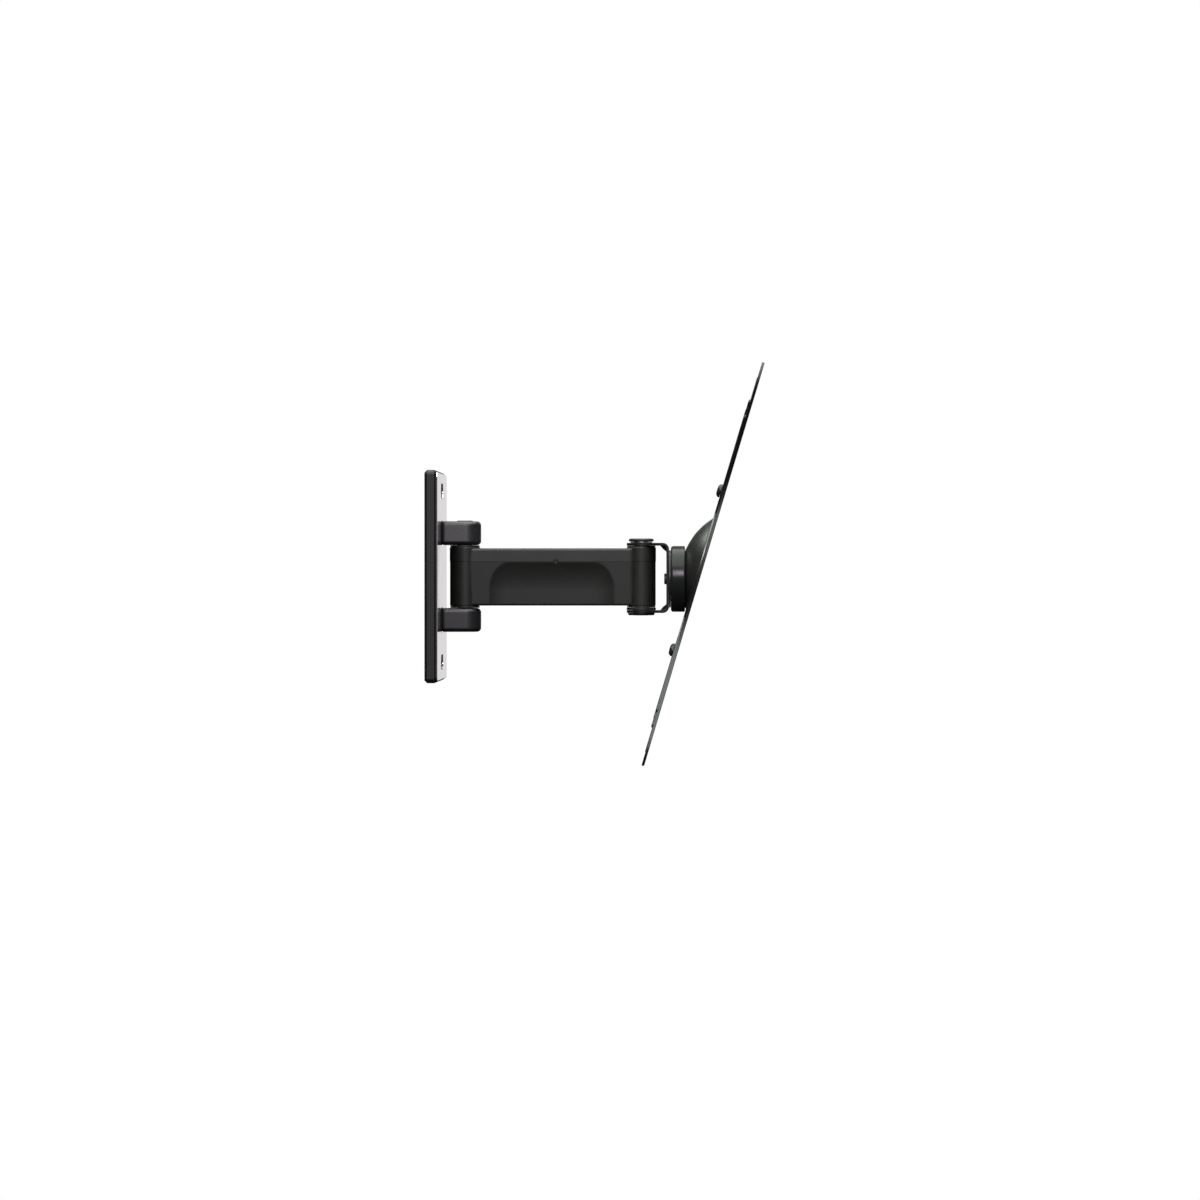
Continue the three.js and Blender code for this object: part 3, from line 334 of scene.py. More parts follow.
# %% Wires
class Wire:
    """The output of a node, which Python's operators can work on."""

    def __init__(self, finish, socket):
        self.finish = finish
        self.socket = socket

    def maths(self, operation, first, second):
        return self.finish.node("ShaderNodeMath", {"operation": operation}, {0: first, 1: second})

    def __add__(self, other):
        return self.maths("ADD", self, other)

    def __sub__(self, other):
        return self.maths("SUBTRACT", self, other)

    def __rsub__(self, other):
        return self.maths("SUBTRACT", other, self)

    def __mul__(self, other):
        return self.maths("MULTIPLY", self, other)

    __radd__ = __add__
    __rmul__ = __mul__

    def between(self, low, high):
        """This wire, taken from low..high to 0..1 and held there."""
        return self.finish.node("ShaderNodeMapRange", {"clamp": True}, {0: self, 1: low, 2: high})


class Finish:
    """One material and the nodes in it."""

    def __init__(self, name):
        self.material = bpy.data.materials.new(name)
        self.material.use_nodes = True
        self.tree = self.material.node_tree
        self.tree.nodes.clear()
        self.shader = self.tree.nodes.new("ShaderNodeBsdfPrincipled")
        output = self.tree.nodes.new("ShaderNodeOutputMaterial")
        self.tree.links.new(self.shader.outputs[0], output.inputs["Surface"])

    def node(self, kind, settings=None, inputs=None, output=0):
        """Adds a node: its settings first, then values or wires on its sockets. Gives back one output."""
        made = self.tree.nodes.new(kind)
        for key, value in (settings or {}).items():
            setattr(made, key, value)
        for key, value in (inputs or {}).items():
            self.feed(made.inputs[key], value)
        return Wire(self, made.outputs[output])

    def feed(self, socket, value):
        """Links a wire to a socket, or sets the socket's own value."""
        if isinstance(value, Wire):
            self.tree.links.new(value.socket, socket)
        else:
            socket.default_value = value

    def place(self, stretch=(1, 1, 1)):
        """Where a point is on the piece, in millimetres, stretched along the axes."""
        here = self.node("ShaderNodeTexCoord", output="Object")
        scale = tuple(value / MM for value in stretch)
        return self.node("ShaderNodeVectorMath", {"operation": "MULTIPLY"}, {0: here, 1: scale})

    def noise(self, grain, detail=2.0, stretch=(1, 1, 1)):
        """Soft noise whose patches are about grain millimetres wide."""
        return self.node("ShaderNodeTexNoise", {}, {"Vector": self.place(stretch), "Scale": 1 / grain,
                                                   "Detail": detail}, "Fac")

    def blend(self, factor, first, second):
        """A colour between two colours."""
        return self.node("ShaderNodeMix", {"data_type": "RGBA"}, {0: factor, 6: first, 7: second}, 2)

    def bump(self, height, depth, onto=None):
        """Bumps depth millimetres deep, on top of another bump if one is given."""
        inputs = {"Height": height, "Distance": depth * MM, "Strength": 1.0}
        if onto:
            inputs["Normal"] = onto
        return self.node("ShaderNodeBump", {}, inputs)

    def set(self, **values):
        """Sets the shader's sockets, with underscores for the spaces in their names."""
        for key, value in values.items():
            self.feed(self.shader.inputs[key.replace("_", " ")], value)
        return self.material


# %% [markdown]
# ## Powder coat
#
# Almost everything on this mount is black powder coat. Seen close it isn't smooth: the powder flows into
# an orange peel about a millimetre across with a much finer grit on top, and handling leaves paler,
# duller patches. Noise at four sizes draws all of that. The coats are not equally glossy, so each sets
# its own refractive index, and the arm's has a clear top as well.

# %% Powder coat
PATCH, MOTTLE, ORANGE_PEEL, GRIT = 14, 2.5, 1.1, 0.22  # widths of what the noise draws, in millimetres
PATCH_WEAR, MOTTLE_WEAR = 0.55, 0.3
GRIT_SHARE = 0.25  # of the orange peel's depth
TOPCOAT_ROUGHNESS = 0.22


def powder_coat(name, colour, worn, peel, roughness, gloss=1.5, topcoat=0.0):
    """A black powder coat. peel is its orange peel's depth in millimetres, gloss its refractive index."""
    finish = Finish(name)
    patches = finish.noise(PATCH, 3).between(0.38, 0.72)
    grit = finish.noise(GRIT, 1)
    mottle = finish.noise(MOTTLE, 4).between(0.55, 0.9)
    shade = finish.blend(patches * PATCH_WEAR + mottle * MOTTLE_WEAR, colour, worn)
    rough = roughness + patches * 0.07 + grit * 0.06
    wavy = finish.bump(finish.noise(ORANGE_PEEL, 2), peel)
    gritty = finish.bump(grit, peel * GRIT_SHARE, wavy)
    return finish.set(Base_Color=shade, Roughness=rough, Normal=gritty, IOR=gloss,
                      Coat_Weight=topcoat, Coat_Roughness=TOPCOAT_ROUGHNESS)


PLATE_COAT = powder_coat("plate_powder_coat", (0.0045, 0.0042, 0.0042, 1), (0.008, 0.0075, 0.0075, 1),
                         0.03, 0.46)
# Painted light colour: the blocks' black coat is tinted purple, the tint that the lamp above the camera
# gives their flats, and the arm's black coat is tinted olive, the tint that the overhead light gives its
# flat sides.
BLOCK_COAT = powder_coat("block_powder_coat", (0.0065, 0.0052, 0.0070, 1), (0.012, 0.0098, 0.0125, 1),
                         0.03, 0.42, gloss=1.75)
ARM_COAT = powder_coat("arm_powder_coat", (0.0060, 0.0061, 0.0048, 1), (0.0095, 0.0096, 0.0078, 1),
                       0.03, 0.48, topcoat=0.25)
SHEET_COAT = powder_coat("sheet_powder_coat", (0.0050, 0.0052, 0.0046, 1), (0.009, 0.009, 0.008, 1),
                         0.02, 0.40, gloss=1.4)
DOME_COAT = powder_coat("dome_powder_coat", (0.0065, 0.0068, 0.0058, 1), (0.011, 0.0115, 0.010, 1),
                        0.02, 0.30, gloss=2.2)
SCREEN_COAT = powder_coat("screen_plate_coat", (0.016, 0.0165, 0.0155, 1), (0.030, 0.0305, 0.029, 1),
                          0.02, 0.42)
print("six powder coats")

# %% [markdown]
# ## Satin metal, zinc and black oxide
#
# The face of the wall bracket is aluminium sheet, finely brushed from side to side. The washers, the
# spring, the lock nut and the screws behind the plate are zinc plated and faintly streaky. The pins, the
# bolt and the dome's screws are oiled black oxide, smoother than the coat round them.

# %% Metals
SCRATCH, SCRATCH_DEPTH, CLOUD = 0.12, 0.004, 18
POOL, OIL_SKIN, OIL_SKIN_DEPTH = 1.6, 0.4, 0.006


def lighter(colour, times):
    """A colour made a number of times lighter."""
    return tuple(value * times for value in colour[:3]) + (1,)


def brushed(name, light, dark, roughness, stretch, metal):
    """Brushed metal whose scratches run along the axis that is stretched least."""
    finish = Finish(name)
    scratches = finish.noise(SCRATCH, 2, stretch)
    cloud = finish.noise(CLOUD, 3).between(0.35, 0.75)
    shade = finish.blend(cloud * 0.5 + scratches * 0.5, light, dark)
    rough = roughness + scratches * 0.10 + cloud * 0.05
    return finish.set(Base_Color=shade, Roughness=rough, Metallic=metal,
                      Normal=finish.bump(scratches, SCRATCH_DEPTH))


def oiled(name, colour, roughness):
    """Black oxide: dark, smooth and slightly uneven where the oil has pooled."""
    finish = Finish(name)
    pools = finish.noise(POOL, 3).between(0.3, 0.7)
    shade = finish.blend(pools, colour, lighter(colour, 1.9))
    return finish.set(Base_Color=shade, Roughness=roughness + pools * 0.12, Metallic=0.0,
                      Normal=finish.bump(finish.noise(OIL_SKIN, 2), OIL_SKIN_DEPTH))


SATIN_FACE = brushed("satin_face", (0.90, 0.885, 0.895, 1), (0.85, 0.84, 0.85, 1), 0.05,
                     stretch=(0.06, 1, 1), metal=0.95)
ZINC = brushed("zinc_plate", (0.60, 0.60, 0.58, 1), (0.42, 0.42, 0.40, 1), 0.30,
               stretch=(1, 1, 0.5), metal=1.0)
BLACK_OXIDE = oiled("black_oxide", (0.014, 0.014, 0.015, 1), 0.30)
print("three metals")

# %% [markdown]
# ## Plastics
#
# The bushes and the plain washers are black acetal. The big disc is a smoother moulding with a fine,
# even skin, and scuffs where it has been handled.

# %% Plastics
SCUFF = 6


def moulded(name, colour, roughness, grain, depth, gloss=1.45):
    """A moulded plastic with a fine even skin."""
    finish = Finish(name)
    skin = finish.noise(grain, 2)
    scuffs = finish.noise(SCUFF, 4).between(0.5, 0.8)
    shade = finish.blend(scuffs, colour, lighter(colour, 1.5))
    return finish.set(Base_Color=shade, Roughness=roughness + scuffs * 0.1, IOR=gloss,
                      Normal=finish.bump(skin, depth))


BUSH = moulded("bush_acetal", (0.024, 0.024, 0.026, 1), 0.38, 0.3, 0.008)
DISC = moulded("disc_moulding", (0.017, 0.018, 0.0175, 1), 0.24, 0.8, 0.006, 1.30)
print("two plastics")

# %% [markdown]
# ## Putting a piece in
#
# Each piece takes a finish, is shaded smooth except at true edges, stands for one node of the
# engineering model and rides on that node's body. Smooth shading alone would bend the light on a flat
# face next to a rounded edge, so weighted normals give the large faces the last word.

# %% Fit a piece
BODY_OF = {node: body for body, nodes in frame["record"]["behaviour"]["bodies"].items() for node in nodes}
SHARP = math.radians(32)
LARGE_FACES_FIRST = 100


def fit(made, node, finish):
    """Puts a finished piece in place of an engineering node."""
    made.data.materials.clear()
    made.data.materials.append(finish)
    made.data.shade_smooth()
    made.data.set_sharp_from_angle(angle=SHARP)
    flatten = made.modifiers.new("flatten", "WEIGHTED_NORMAL")
    flatten.keep_sharp = True
    flatten.weight = LARGE_FACES_FIRST
    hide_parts(node)
    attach(made, BODY_OF[node])
    print(f"{made.name}: {len(made.data.polygons)} faces")


# %% [markdown]
# ## Wall plate
#
# A heavy cast plate with chamfered edges. Its front has a shallow pocket for the light cover, two wall
# slots go right through, and four countersinks at the back take the screws that hold the hinge blocks.

# %% Wall plate
WALL_SIDE = Matrix.Rotation(math.pi / 2, 4, "X")  # X stays, drawn Y is up, drawn Z is away from the wall
plate_low, plate_high = size_in(WALL_SIDE, "wall_plate")
cover_low, cover_high = size_in(WALL_SIDE, "face_cover")
PLATE_CORNER, PLATE_EDGE = 2.6, 1.4
COVER_CORNER, COVER_EDGE, COVER_GAP, WINDOW_CORNER = 2.2, 0.18, 0.25, 1.2
SLOT_LENGTH, SLOT_WIDTH, SLOT_HEIGHT = 24.0, 8.0, 46.0
SINK_MOUTH, SINK_HOLE, SINK_STEPS = 5.0, 2.1, 48
slot_outlines = [obround(SLOT_LENGTH, SLOT_WIDTH, (0, side * SLOT_HEIGHT)) for side in (-1, 1)]


def opening_for(low, high, corner):
    """The outline of an opening that leaves a gap all round a piece."""
    return rounded_rectangle((low.x - COVER_GAP, low.y - COVER_GAP),
                             (high.x + COVER_GAP, high.y + COVER_GAP), corner)


def wall_plate():
    """The cast plate on the wall."""
    outline = rounded_rectangle(plate_low, plate_high, PLATE_CORNER)
    made = plate("WallPlate", [outline, *slot_outlines], plate_low.z, plate_high.z, WALL_SIDE, PLATE_EDGE, 0)
    pocket = opening_for(cover_low, cover_high, COVER_CORNER + COVER_GAP)
    cutters = [plate("pocket", [pocket], cover_low.z, plate_high.z + 2, WALL_SIDE)]
    for node in nodes_named("block_screw"):
        low, high = size_in(WALL_SIDE, node)
        centre = (low + high) / 2
        cutters.append(turned("sink", [
            (0, -PAST, 0), (SINK_MOUTH, -PAST, 0), (SINK_HOLE, SINK_HOLE, 0), (SINK_HOLE, 9, 0), (0, 9, 0),
        ], moved(WALL_SIDE, centre.x, centre.y), SINK_STEPS))
    fit(combine(made, cutters), "wall_plate", PLATE_COAT)


wall_plate()

# %% [markdown]
# The cover is thin sheet with the slots and two windows that the hinge blocks come through. A gap all
# round it leaves a fine dark line. It is so much brighter than the rest that the black pieces would
# shine grey with it, so it is hidden from their reflections.

# %% Face cover
def face_cover():
    """The light cover in the plate's pocket."""
    blocks = ("hinge_block_upper", "hinge_block_lower")
    windows = [opening_for(*size_in(WALL_SIDE, node), WINDOW_CORNER) for node in blocks]
    outline = rounded_rectangle(cover_low, cover_high, COVER_CORNER)
    made = plate("FaceCover", [outline, *slot_outlines, *windows], cover_low.z, cover_high.z, WALL_SIDE,
                 COVER_EDGE, 2)
    made.visible_glossy = False
    made.visible_diffuse = False
    fit(made, "face_cover", SATIN_FACE)


face_cover()

# %% [markdown]
# ## Hinge blocks
#
# Two castings that hold the pin: cheeks that draw in a little so that the casting leaves its mould, a
# nose round the pin, and generously rounded edges all over. The lower one has a pocket underneath for
# the clip.

# %% Hinge blocks
BLOCK_EDGE = 2.3
BLOCK_ROOT = 3.2
BLOCK_DRAFT = math.tan(math.radians(1.6))
pin_low, pin_high = size_in(AT_WALL_PIVOT, "wall_pivot_pin")
PIN_RADIUS = 4.0
RUNNING_GAP = 0.12  # between a pin and what turns on it
POCKET_RADIUS, POCKET_DEPTH = 6.1, 1.9


def hinge_block(name, node):
    """One hinge block with its bore."""
    low, high = size_in(AT_WALL_PIVOT, node)
    half = high.x
    root = high.y - BLOCK_ROOT
    outline = [*arc((half - BLOCK_ROOT, root), BLOCK_ROOT, 0, math.pi / 2, 8),
               *arc((BLOCK_ROOT - half, root), BLOCK_ROOT, math.pi / 2, math.pi, 8),
               *arc((0, 0), half, math.pi, 2 * math.pi, 40)]
    made = plate(name, [outline], low.z, high.z, AT_WALL_PIVOT, BLOCK_EDGE, 6)
    inner = low.z if low.z > 0 else high.z
    for vertex in made.data.vertices:
        away = abs(vertex.co.z / MM - WALL_PIVOT.z / MM - inner)
        vertex.co.x *= 1 - BLOCK_DRAFT * away / half
    cutters = [drill(PIN_RADIUS + RUNNING_GAP, low.z, high.z, AT_WALL_PIVOT)]
    if low.z < 0:
        cutters.append(turned("pocket", [
            (0, low.z - PAST, 0), (POCKET_RADIUS + 0.6, low.z - PAST, 0), (POCKET_RADIUS, low.z + 0.3, 0),
            (POCKET_RADIUS, low.z + POCKET_DEPTH, 0), (0, low.z + POCKET_DEPTH, 0),
        ], AT_WALL_PIVOT))
    fit(combine(made, cutters), node, BLOCK_COAT)


hinge_block("HingeBlockUpper", "hinge_block_upper")
hinge_block("HingeBlockLower", "hinge_block_lower")

# %% [markdown]
# ## Pins, clips and screws at the wall
#
# The pin drops in from above and hangs on its low cap, and an open spring ring snaps into the groove at
# its foot. Four countersunk screws come through the plate from behind. Their cross recesses narrow as
# they go in.

# %% Pivot pin, clip and block screws
GROOVE_RADIUS, GROOVE_GAP = 3.15, 0.05
CLIP_INNER, CLIP_OUTER, CLIP_OPENING = 3.3, 5.8, 0.45  # radii, and half the opening's angle


def pivot_pin():
    """The pin through both blocks, with its low domed cap and clip groove."""
    cap = (pin_high.x - pin_low.x) / 2
    block_top = size_in(WALL_SIDE, "hinge_block_upper")[1].y
    block_bottom = size_in(AT_WALL_PIVOT, "hinge_block_lower")[0].z
    clip_low, clip_high = size_in(AT_WALL_PIVOT, "pin_clip")
    fit(turned("WallPivotPin", [
        (0, pin_low.z, 0), (PIN_RADIUS - 0.1, pin_low.z, 0.35), (PIN_RADIUS, pin_low.z + 0.4, 0),
        (PIN_RADIUS, clip_low.z - GROOVE_GAP, 0.05), (GROOVE_RADIUS, clip_low.z - GROOVE_GAP, 0.05),
        (GROOVE_RADIUS, clip_high.z + GROOVE_GAP, 0.05), (PIN_RADIUS, clip_high.z + GROOVE_GAP, 0.05),
        (PIN_RADIUS, block_top, 0), (cap, block_top, 0.05), (cap, pin_high.z - 0.1, 0.15),
        (cap - 0.8, pin_high.z, 0.5), (0, pin_high.z, 0),
    ], AT_WALL_PIVOT), "wall_pivot_pin", BLACK_OXIDE)
    print(f"the clip sits {clip_low.z - block_bottom:.2f} mm inside the lower block")


def pin_clip():
    """The open spring ring in the pin's groove."""
    low, high = size_in(AT_WALL_PIVOT, "pin_clip")
    start, end = CLIP_OPENING, 2 * math.pi - CLIP_OPENING
    outer = arc((0, 0), CLIP_OUTER, start, end, 48)
    inner = arc((0, 0), CLIP_INNER, end, start, 48)
    fit(plate("PinClip", [outer + inner], low.z, high.z, AT_WALL_PIVOT, 0.12, 2), "pin_clip", BLACK_OXIDE)


def cross_recess(depth, width, place):
    """A cutter for a cross recess that narrows as it goes in, from height 0 down."""
    bars = []
    for heading in (0, math.pi / 2):
        bar = bmesh.new()
        bmesh.ops.create_cube(bar, size=1)
        for vertex in bar.verts:
            top = vertex.co.z > 0
            vertex.co.x *= (width if top else width * 0.45) * MM
            vertex.co.y *= width * 0.24 * MM
            vertex.co.z = (0.6 if top else -depth) * MM
        bars.append(as_object("bar", bar, place @ Matrix.Rotation(heading, 4, "Z")))
    return combine(bars[0], bars[1:], "UNION")


def block_screws():
    """The countersunk screws behind the plate."""
    for node in nodes_named("block_screw"):
        low, high = size_in(WALL_SIDE, node)
        centre = (low + high) / 2
        place = moved(WALL_SIDE, centre.x, centre.y) @ Matrix.Rotation(math.pi, 4, "X")
        head = (high.x - low.x) / 2
        screw = turned("BlockScrew" + node[-1], [
            (0, -low.z, 0), (head, -low.z, 0.12), (2.0, -low.z - head + 2.0, 0.1), (2.0, 0.5 - high.z, 0.1),
            (1.5, -high.z, 0.1), (0, -high.z, 0),
        ], place, SINK_STEPS)
        recess = cross_recess(1.6, 3.4, moved(place, 0, 0, -low.z))
        fit(combine(screw, [recess]), node, ZINC)


pivot_pin()
pin_clip()
block_screws()

# %% [markdown]
# ## Swing arm
#
# The arm is a casting, and it shows: the two halves of the mould meet at a parting line high on its
# side, where the upper half stands a little proud, a hollow arch is scooped out of each side, and
# generous fillets run the flat bar into its barrels. The bar is lofted: at each station along the arm a
# closed section is drawn, whose sides are pushed in by the scoop's depth there and out by the fillets.
# The barrels are turned and joined to it, then bored.

# %% Arm
arm_low, arm_high = size_in(AT_WALL_PIVOT, "arm_body")
WALL_BARREL, HEAD_BARREL = arm_high.x, -ARM_LENGTH - arm_low.y
BAR_HALF_AT_WALL, BAR_HALF_AT_HEAD = 7.4, 6.2
BAR_TOP, BAR_BOTTOM, BAR_EDGE = arm_high.z - 0.6, 0.2 - arm_high.z, 0.9
WALL_FILLET, HEAD_FILLET = 13.0, 5.0
PARTING_Z, PARTING_STEP = BAR_TOP - 7.1, 0.15
UPPER_DRAFT, LOWER_DRAFT = math.tan(math.radians(1.5)), math.tan(math.radians(0.8))
SCOOP_FROM, SCOOP_TO, SCOOP_TOP = 13.2, ARM_LENGTH - 14.4, PARTING_Z - 0.5
SCOOP_DEPTH, SCOOP_REACH = 2.0, (11.0, 15.0)
GATE_MARK, NICK_DEPTH, NICK_LENGTH, NICK_HEIGHT = 49.0, 0.35, 1.1, 1.0
FILLET_SHARE = 0.6  # the most of its radius that a fillet uses
BAR_START, STATION_SPACING, ROW_SPACING = 3.2, 0.5, 0.5
EDGE_SHARES = (0, 0.06, 0.18, 0.38, 0.65, 1.0)
PARTING_ROWS = (-0.6, -0.12, -0.02, 0.02, 0.1)


def smooth(value):
    """A soft step from 0 to 1."""
    value = max(0.0, min(1.0, value))
    return value * value * (3 - 2 * value)


def scoop_depth(along, z):
    """How far the side is pushed in: from nothing at the arch's edge to a flat floor well inside it."""
    wide, tall = SCOOP_REACH
    across = max(0.0, 1 - min(along - SCOOP_FROM, SCOOP_TO - along) / wide)
    down = max(0.0, 1 - (SCOOP_TOP - z) / tall)
    inside = 1 - math.hypot(across, down)
    return SCOOP_DEPTH * (1 - (1 - inside) ** 2) if inside > 0 else 0.0


def fillet_height(along, barrel, bar, fillet):
    """How far the fillet stands out from the bar's side, at a distance from a barrel's axis."""
    reach = math.sqrt((barrel + fillet) ** 2 - (bar + fillet) ** 2)
    off = max(0.0, reach - along)
    return fillet - math.sqrt(fillet ** 2 - min(off, FILLET_SHARE * fillet) ** 2)


def bar_section(along, heights):
    """One side of the bar's section at a station: points (x, z) from the bottom to the top."""
    fillet = fillet_height(along, WALL_BARREL, BAR_HALF_AT_WALL, WALL_FILLET)
    fillet += fillet_height(ARM_LENGTH - along, HEAD_BARREL, BAR_HALF_AT_HEAD, HEAD_FILLET)
    bar = BAR_HALF_AT_WALL + (BAR_HALF_AT_HEAD - BAR_HALF_AT_WALL) * along / ARM_LENGTH
    points = []
    for z in heights:
        away = z - PARTING_Z
        step = UPPER_DRAFT * away if away > 0 else PARTING_STEP - LOWER_DRAFT * away
        nick = NICK_DEPTH * max(0.0, 1 - abs(along - GATE_MARK) / NICK_LENGTH)
        nick *= max(0.0, 1 - abs(away) / NICK_HEIGHT)
        x = bar + fillet - step - nick - scoop_depth(along, z)
        edge = min(z - BAR_BOTTOM, BAR_TOP - z)
        if edge < BAR_EDGE:
            x -= BAR_EDGE - math.sqrt(max(0.0, BAR_EDGE ** 2 - (BAR_EDGE - edge) ** 2))
        points.append((x, z))
    return points


def bar_heights():
    """Heights of the section's points, close together at the edges and at the parting line."""
    edge = [BAR_EDGE * share for share in EDGE_SHARES]
    heights = [BAR_BOTTOM + value for value in edge] + [BAR_TOP - value for value in edge]
    heights += [PARTING_Z + row for row in PARTING_ROWS]
    rows = int((PARTING_Z - BAR_BOTTOM - 2.0) / ROW_SPACING)
    heights += [BAR_BOTTOM + 1.4 + ROW_SPACING * step for step in range(rows)]
    heights += [PARTING_Z + 0.7 * step for step in range(1, 9)]
    return sorted(heights)


def arm_bar():
    """The lofted bar between the barrels."""
    heights = bar_heights()
    start, end = BAR_START, ARM_LENGTH - BAR_START
    count = int((end - start) / STATION_SPACING)
    mesh = bmesh.new()
    loops = []
    for station in range(count + 1):
        along = start + (end - start) * station / count
        half = bar_section(along, heights)
        loop = half + [(-x, z) for x, z in reversed(half)]
        loops.append([mesh.verts.new((x * MM, -along * MM, z * MM)) for x, z in loop])
    for first, second in zip(loops, loops[1:]):
        for index in range(len(first)):
            after = (index + 1) % len(first)
            mesh.faces.new((first[index], first[after], second[after], second[index]))
    mesh.faces.new(loops[0])
    mesh.faces.new(list(reversed(loops[-1])))
    return as_object("ArmBody", mesh, AT_WALL_PIVOT)


def arm_barrel(radius, place):
    """One barrel, stepped at the parting line and chamfered at both ends."""
    top = arm_high.z
    return turned("barrel", [
        (0, -top, 0), (radius - PARTING_STEP, -top, 0.5), (radius - PARTING_STEP, PARTING_Z - 0.02, 0.04),
        (radius, PARTING_Z + 0.02, 0.04), (radius, top, 0.5), (0, top, 0),
    ], place, 128)


def arm_body():
    """The whole casting, bored for its bushes."""
    ends = [(WALL_BARREL, PIN_RADIUS, AT_WALL_PIVOT), (HEAD_BARREL, HEAD_BOLT, AT_HEAD_PIVOT)]
    made = combine(arm_bar(), [arm_barrel(radius, place) for radius, _, place in ends], "UNION")
    bores = [drill(pin + BUSH_WALL + BORE_GAP, -arm_high.z, arm_high.z, place, 0.2)
             for _, pin, place in ends]
    fit(combine(made, bores), "arm_body", ARM_COAT)


HEAD_BOLT = 3.9
BUSH_WALL, BORE_GAP = 1.1, 0.22
arm_body()

# %% [markdown]
# Four flanged bushes carry the arm. Only their flanges show, as a thin line between barrel and block.

# %% Bushes
FLANGES = {"wall": 0.95, "head": 0.7}


def bush(name, node, place, pin):
    """A flanged bush: a sleeve and a flange."""
    low, high = size_in(place, node)
    flange = (high.x - low.x) / 2
    inner, sleeve = pin + RUNNING_GAP, pin + RUNNING_GAP + BUSH_WALL
    top = high.z > 0
    far, end = (high.z, low.z) if top else (low.z, high.z)
    thick = FLANGES[node.split("_")[0]] * (1 if top else -1)
    fit(turned(name, [
        (inner, end, 0.1), (sleeve, end, 0.2), (sleeve, far - thick, 0.05), (flange, far - thick, 0.15),
        (flange, far, 0.15), (inner, far, 0.15),
    ], place), node, BUSH)


for side in ("upper", "lower"):
    bush("WallBush" + side.title(), "wall_bush_" + side, AT_WALL_PIVOT, PIN_RADIUS)
    bush("HeadBush" + side.title(), "head_bush_" + side, AT_HEAD_PIVOT, HEAD_BOLT)

# %% [markdown]
# ## Yoke
#
# A strip of steel bent into a U. In each bend the press has pushed a dart inwards, which stops the bend
# from opening under the screen's weight. The strip is laid out as a sheet with a middle line and a width
# at each place, the darts are pushed in, and then the sheet gets its thickness.

# %% Yoke
yoke_low, yoke_high = size_in(AT_HEAD_PIVOT, "yoke")
STRAP = 1.4
BEND = 3.3 - STRAP / 2
TAB, WEB_HALF = 7.8, 11.0
WIDENING_FROM, WIDENING_TO = 1.5, 4.5  # out from the pivot, and in from the web
DART_DEPTH, DART_HALF, DART_REACH = 2.1, 2.6, 4.6
TAB_ROWS, BEND_ROWS, WEB_ROWS, STRAP_COLUMNS = 34, 12, 36, 28
STUD_HOLE = 3.0


def strap_line():
    """The strap's middle line as (out, z, bend) from the upper tab's end to the lower one's."""
    web = -yoke_low.y - STRAP / 2
    top, bottom = yoke_high.z - STRAP / 2, yoke_low.z + STRAP / 2
    points = [Vector((out, top)) for out in spaced(-TAB, web - BEND, TAB_ROWS)]
    points += arc((web - BEND, top - BEND), BEND, math.pi / 2, 0, BEND_ROWS)[1:]
    points += [Vector((web, z)) for z in spaced(top - BEND, bottom + BEND, WEB_ROWS)][1:]
    points += arc((web - BEND, bottom + BEND), BEND, 0, -math.pi / 2, BEND_ROWS)[1:]
    points += [Vector((out, bottom)) for out in spaced(web - BEND, -TAB, TAB_ROWS)][1:]
    return points


def spaced(first, last, count):
    """Evenly spaced values."""
    return [first + (last - first) * step / count for step in range(count + 1)]


def strap_half_width(out):
    """Half the strap's width at a distance out from the pivot."""
    if out < 0:
        return math.sqrt(max(0.0, TAB ** 2 - out ** 2))
    if out < WIDENING_FROM:
        return TAB
    widening = -yoke_low.y - WIDENING_TO - WIDENING_FROM
    return TAB + (WEB_HALF - TAB) * smooth((out - WIDENING_FROM) / widening)


def yoke():
    """The bent strap with its darts and holes."""
    web = -yoke_low.y
    corners = [Vector((web - STRAP / 2, yoke_high.z - STRAP / 2)),
               Vector((web - STRAP / 2, yoke_low.z + STRAP / 2))]
    inwards = [Vector((-1, -1)).normalized(), Vector((-1, 1)).normalized()]
    mesh = bmesh.new()
    rows = []
    for point in strap_line():
        half = strap_half_width(point.x)
        row = []
        for t in spaced(-1, 1, STRAP_COLUMNS):
            x = half * t
            moved = point.copy()
            for corner, inward in zip(corners, inwards):
                fall = smooth(1 - (point - corner).length / DART_REACH) * smooth(1 - abs(x) / DART_HALF)
                moved = moved + inward * DART_DEPTH * fall
            row.append(mesh.verts.new((x * MM, -moved.x * MM, moved.y * MM)))
        rows.append(row)
    for first, second in zip(rows, rows[1:]):
        for index in range(len(first) - 1):
            mesh.faces.new((first[index], first[index + 1], second[index + 1], second[index]))
    made = as_object("Yoke", mesh, AT_HEAD_PIVOT)
    thicken = made.modifiers.new("thicken", "SOLIDIFY")
    thicken.thickness = STRAP * MM
    thicken.offset = 0
    ease = made.modifiers.new("ease", "BEVEL")
    ease.width = 0.28 * MM
    ease.segments = 3
    ease.limit_method = "ANGLE"
    ease.angle_limit = math.radians(50)
    data = finished_mesh(made)
    made.modifiers.clear()
    made.data = data
    low, high = size_in(STUD_FRAME, "yoke")
    cutters = [drill(HEAD_BOLT + RUNNING_GAP, yoke_low.z - 1, yoke_high.z + 1, AT_HEAD_PIVOT, 0.1),
               drill(STUD_HOLE, low.z - 0.05, low.z + STRAP + 0.05, STUD_FRAME, 0.15)]
    fit(combine(made, cutters), "yoke", SHEET_COAT)


yoke()

# %% [markdown]
# ## Pivot bolt and what is stacked on it
#
# The bolt clamps the yoke's two tabs on the arm's head barrel. Its low cap has a hexagon socket with a
# lead-in, a zinc washer shows as a bright line under it, and a plain washer and a thin nut close the
# stack below.

# %% Bolt, washers and nut
SOCKET_FLATS = 5.0


